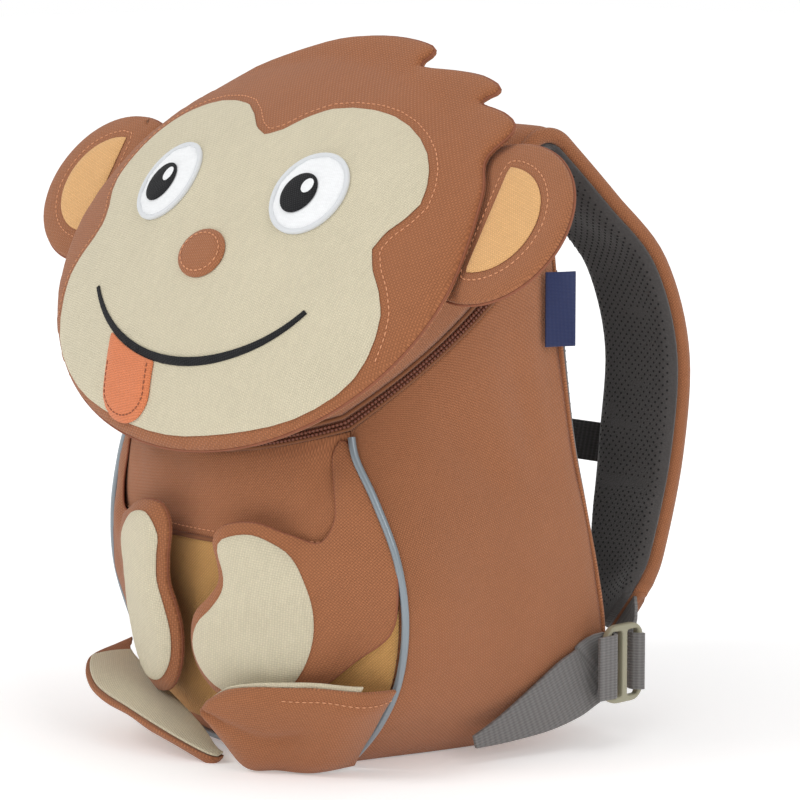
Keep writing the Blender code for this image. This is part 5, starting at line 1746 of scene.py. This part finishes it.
def outer_profile(half):
    """Outline of the outer cloth: flat inside, bound edges and a low crown outside."""
    edge = [(0.001, SPLIT), (0, SPLIT + 0.0010), (-0.0006, SPLIT + 0.0026), (0, STRAP_OUTER - 0.0010),
            (0.0016, STRAP_OUTER), (0.0034, STRAP_OUTER - 0.0002), (0.0042, STRAP_OUTER - 0.0009),
            (0.0052, STRAP_OUTER - 0.0002)]
    base = [(-half + inward, out) for inward, out in edge]
    crown = ((0.6, 0.0004), (0.3, 0.0006), (0.0, 0.0007))
    base += [(-half * share, STRAP_OUTER + rise) for share, rise in crown]
    return base + [(-across, out) for across, out in reversed(base[:-1])]


# Cross folds of the lining: place along the strap, depth and width in metres.
LINING_FOLDS = ((0.030, 0.0012, 0.004), (0.048, 0.0016, 0.004), (0.068, 0.0013, 0.005),
                (0.262, 0.0016, 0.005), (0.280, 0.0018, 0.005))


def lining_height(share, run):
    """How far the lining stands in from the outer cloth, across from -1 to 1 and along in metres."""
    fold = sum(depth * math.exp(-((run - place) / width) ** 2) for place, depth, width in LINING_FOLDS)
    full = math.sqrt(ease((1 - abs(share)) / 0.28))
    rough = uneven((share * 0.02, run, 0.7), 0.014, 0.0009)
    return (LINING_PAD + 0.0016) * (0.25 + 0.75 * full) - fold * full + rough * full


LINING_HALF = (0.16, 0.32, 0.48, 0.64, 0.78, 0.88, 0.95, 0.985, 1)
LINING_PLACES = [-share for share in reversed(LINING_HALF)] + [0, *LINING_HALF]
LINING_INSET = 0.0016
for side, sign in SIDES:
    outer_sections, lining_sections = [], []
    for (spot, run, across, outward, width), length in zip(strap_route, strap_runs):
        inner = width / 2 - LINING_INSET
        section = [(share * inner, LINING_TOP - lining_height(share, length)) for share in LINING_PLACES]
        section += [(inner * 0.98, LINING_TOP), (-inner * 0.98, LINING_TOP)]
        for sections, outline in ((outer_sections, outer_profile(width / 2)), (lining_sections, section)):
            sections.append([mirrored(spot + across * a + outward * b, sign) for a, b in outline])
    keep(tube("strap_cloth_" + side, outer_sections, strap_runs), BROWN_PLAIN, "brown_cloth",
         "shoulder_strap_" + side, pad=0.4)
    keep(tube("strap_mesh_" + side, lining_sections, strap_runs), MESH, "grey_mesh", "strap_lining_" + side,
         pad=0.6)


# %% Holes of the strap mesh
HOLE_PITCH, HOLE_ROW = 0.0033, 0.0018


def strap_place(length):
    """Frame of the strap at a distance along it."""
    k = next(i for i in range(1, len(strap_runs)) if strap_runs[i] >= length)
    share = (length - strap_runs[k - 1]) / (strap_runs[k] - strap_runs[k - 1])
    return [mix(a, b, share) for a, b in zip(strap_route[k - 1], strap_route[k])]


# Each hole of the strap mesh is a dark plug, painted shade inside the hole.
for side, sign in SIDES:
    holes = []
    for i in range(int(strap_runs[-1] / HOLE_ROW) - 2):
        length = 0.003 + i * HOLE_ROW
        spot, run, across, outward, width = strap_place(length)
        inner = width / 2 - LINING_INSET
        reach = int((inner - 0.0022) / HOLE_PITCH) + 1
        for j in range(-reach, reach + 1):
            share = (j + 0.5 * (i % 2)) * HOLE_PITCH / inner
            if abs(share) > 0.93:
                continue
            rise = lining_height(share + 0.01, length) - lining_height(share - 0.01, length)
            out = (-outward - across * (rise / (0.02 * inner))).normalized()
            here = spot + across * share * inner
            here += outward * (LINING_TOP - lining_height(share, length) + 0.0001)
            holes.append((mirrored(here, sign), mirrored(out, sign)))
    plugs("strap_hole_shades_" + side, holes, HOLE_SHADE, "grey_mesh", radius=0.00048)
    print(side, "strap holes", len(holes))

# %% [markdown]
# ## Webbing, ladder buckles and chest strap
#
# Ribbed webbing is stitched into the side's lower seam, runs round the near bar of a khaki ladder buckle and
# meets the webbing from the strap's end. The buckle is a flat curve with two holes, extruded and rounded,
# because it is one moulding of even thickness.

# %% Ribbons
RIBBON_PARTS = 5


def ribbon(name, path, widths, halves, finish, slot, node, square=1.0):
    """Webbing along a path with a width direction and half width at each point."""
    rows = list(zip(path, widths, halves))
    last = len(rows) - 1
    fine_rows = []
    for k in range(last):
        near = [rows[max(0, min(last, k + step))] for step in (-1, 0, 1, 2)]
        for part in range(RIBBON_PARTS):
            fine_rows.append([spline(*column, part / RIBBON_PARTS) for column in zip(*near)])
    fine_rows.append(list(rows[-1]))
    lower, upper = [], []
    for k, (spot, width, half) in enumerate(fine_rows):
        run = (fine_rows[min(k + 1, len(fine_rows) - 1)][0] - fine_rows[max(k - 1, 0)][0]).normalized()
        across = (width - run * width.dot(run) * square).normalized()
        out = run.cross(across).normalized() * WEB_THICKNESS / 2
        line = [across * half * (2 * share - 1) for share in shares(8)]
        lower.append([spot + wide - out for wide in line])
        upper.append([spot + wide + out for wide in line])
    keep(rounded(sheet(name, lower, upper), 0.0004, 2), finish, slot, node)


# %% Ladder buckles
BUCKLE_ROUND = 0.0007


def rounded_box(wide, high, radius, across=0.0):
    """Outline of a box with round corners."""
    spots = []
    for corner, (sx, sy) in enumerate(((1, 1), (-1, 1), (-1, -1), (1, -1))):
        for share in shares(6):
            angle = math.radians(90 * corner + 90 * share)
            spots.append((across + sx * (wide - radius) + radius * math.cos(angle),
                          sy * (high - radius) + radius * math.sin(angle)))
    return spots


def build_buckle(side, sign):
    """One moulded ladder buckle with two slots."""
    curve = bpy.data.curves.new("buckle_mould_" + side, "CURVE")
    curve.dimensions = "2D"
    curve.fill_mode = "BOTH"
    rail = (BUCKLE_HEIGHT - WEB_WIDTH) / 2 - 2 * GAP
    slot_wide = (BUCKLE_LENGTH - 3 * BUCKLE_BAR) / 4
    outlines = [rounded_box(BUCKLE_LENGTH / 2, BUCKLE_HEIGHT / 2, 0.0062)]
    for turn in (-1, 1):
        outlines.append(rounded_box(slot_wide, BUCKLE_HEIGHT / 2 - rail, 0.0012,
                                    turn * (slot_wide + BUCKLE_BAR / 2)))
    for outline in outlines:
        add_line(curve, [(*spot, 0) for spot in outline], True)
    curve.extrude = BUCKLE_THICKNESS / 2 - BUCKLE_ROUND
    curve.bevel_depth = BUCKLE_ROUND
    curve.bevel_resolution = 2
    curve.offset = -BUCKLE_ROUND
    made = applied(linked("buckle_mould_" + side, curve))
    turned = Matrix(((0, 0, sign), (1, 0, 0), (0, 1, 0))).to_4x4()
    made.data.transform(Matrix.Translation(mirrored(body_place(*BUCKLE_PLACE), sign)) @ turned)
    work = bmesh.new()
    work.from_mesh(made.data)
    bmesh.ops.remove_doubles(work, verts=work.verts, dist=0.00001)
    bmesh.ops.recalc_face_normals(work, faces=work.faces)
    work.to_mesh(made.data)
    work.free()
    keep(made, KHAKI, "khaki_plastic", "ladder_buckle_" + side)
    made.data.set_sharp_from_angle(angle=math.radians(40))


# %% Webbing round the buckles
def build_webbing(side, sign):
    """Hem webbing and strap webbing of one side."""
    centre = body_place(*BUCKLE_PLACE)
    near_bar = centre.y - BUCKLE_LENGTH / 2 + BUCKLE_BAR / 2
    far_bar = centre.y + BUCKLE_LENGTH / 2 - BUCKLE_BAR / 2
    loop = BUCKLE_THICKNESS / 2 + BAR_CLEARANCE + WEB_THICKNESS / 2
    wrap = BUCKLE_BAR / 2 + BAR_CLEARANCE + WEB_THICKNESS / 2
    upright = Vector((0, 0, 1))
    half_web = WEB_WIDTH / 2

    def round_bar(bar, degrees):
        angle = math.radians(degrees)
        return Vector((centre.x + loop * math.sin(angle), bar + wrap * math.cos(angle), centre.z))

    path = [body_place(row.x, row.y, row.z) for row in ANCHOR_ROUTE]
    path += [round_bar(near_bar, degrees) for degrees in HEM_TURN]
    path.append(Vector((centre.x + loop * 0.86, near_bar - wrap - HEM_TAIL, centre.z)))
    halves = [row.width * half_web for row in ANCHOR_ROUTE]
    halves += [half_web] * (len(path) - len(halves))
    ribbon("hem_webbing_" + side, [mirrored(point, sign) for point in path], [upright] * len(path), halves,
           GREY_WEB, "grey_web", "hem_web_" + side)
    spot, run, across, outward, width = strap_route[-1]
    path = [spot + run * GAP, spot + run * 3 * BAR_CLEARANCE]
    turns = [across, across]
    bar_side = Vector((centre.x - loop, far_bar + 0.002, centre.z))
    for share in (0.35, 0.7):
        path.append(mix(path[1], bar_side, share))
        turns.append(mix(across, upright, share))
    path += [round_bar(far_bar, degrees) for degrees in STRAP_WEB_TURN]
    turns += [upright] * len(STRAP_WEB_TURN)
    ribbon("strap_webbing_" + side, [mirrored(point, sign) for point in path],
           [mirrored(turn, sign) for turn in turns], [half_web * 0.9] * len(path), GREY_WEB, "grey_web",
           "strap_web_" + side, square=0.0)


for side, sign in SIDES:
    build_buckle(side, sign)
    build_webbing(side, sign)


# %% Chest strap and clasp
def block(name, centre, axes, size, round_by, finish, slot, node):
    """Rounded block on three axes."""
    along, across, out = axes
    work = bmesh.new()
    bmesh.ops.create_cube(work, size=1.0)
    bmesh.ops.subdivide_edges(work, edges=work.edges, cuts=2, use_grid_fill=True)
    layer = work.loops.layers.uv.new("Weave")
    for vert in work.verts:
        a, b, c = (value * length for value, length in zip(vert.co, size))
        vert.co = centre + along * a + across * b + out * c
    for face in work.faces:
        for loop in face.loops:
            here = loop.vert.co - centre
            loop[layer].uv = (here.dot(along), here.dot(across))
    bmesh.ops.recalc_face_normals(work, faces=work.faces)
    mesh = bpy.data.meshes.new(name)
    work.to_mesh(mesh)
    work.free()
    keep(rounded(linked(name, mesh), round_by, 3), finish, slot, node)


spot, run, across, outward, width = strap_route[round(STRAP_SECTIONS * CHEST_PLACE)]
lift = STRAP_OUTER + GAP + WEB_THICKNESS / 2 + 0.0006
clasp_end = CHEST_CLASP_WIDTH / 2 + SKIN_GAP
path = [spot + across * share * width / 2 + outward * lift for share in (0.8, 0.3, -0.3, -0.9)]
last = path[-1]
path += [mix(last, Vector((clasp_end, last.y, last.z)), share) for share in (0.3, 0.65, 1.0)]
for side, sign in SIDES:
    ribbon("chest_web_" + side, [mirrored(point, sign) for point in path], [mirrored(run, sign)] * len(path),
           [CHEST_WEB_WIDTH / 2] * len(path), DARK_WEB, "charcoal_web", "chest_strap_" + side)
block("chest_clasp_body", Vector((0, last.y, last.z)), (Vector((1, 0, 0)), run, outward),
      (CHEST_CLASP_WIDTH, CHEST_CLASP_HEIGHT, CHEST_CLASP_DEPTH), 0.0016, CHARCOAL, "charcoal_plastic",
      "chest_clasp")

# %% Zip slider and side label
SLIDER_SIZE = (0.0080, 0.0064, 0.0030)
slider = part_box("zip_slider")
slider_centre = (Vector(slider[0]) + Vector(slider[1])) / 2
slider_k = coil_run[1]
slider_axes = ((level(slider_k + 1, 0.004) - level(slider_k - 1, 0.004)).normalized(),
               (head_ring[slider_k] - rim[slider_k]).normalized(), around(slider_k))
block("zip_slider_body", slider_centre, slider_axes, SLIDER_SIZE, 0.0008, CHARCOAL, "charcoal_plastic",
      "zip_slider")
seam = side_point(*LABEL_PLACE)
outward = Vector((0.42, 0.90, 0.0)).normalized()
thick = Vector((0.90, -0.42, 0.0)).normalized()
centre = seam + outward * (LABEL_WIDTH / 2 - LABEL_TUCK) + thick * LABEL_STAND
places = shares(10)
label_layers = [[[centre + outward * (j - 0.5) * LABEL_WIDTH + Vector((0, 0, i - 0.5)) * LABEL_HEIGHT
                  + thick * (out + 0.0010 * math.sin(math.pi * j) * (i - 0.3)) for j in places]
                 for i in shares(16)] for out in (-LABEL_THICKNESS / 2, LABEL_THICKNESS / 2)]
keep(rounded(sheet("label_cloth", *label_layers), PATCH_ROUND, 2), NAVY, "navy_label", "side_label")

# %% Finish
print("pieces", len(pieces), "faces", sum(pieces.values()))
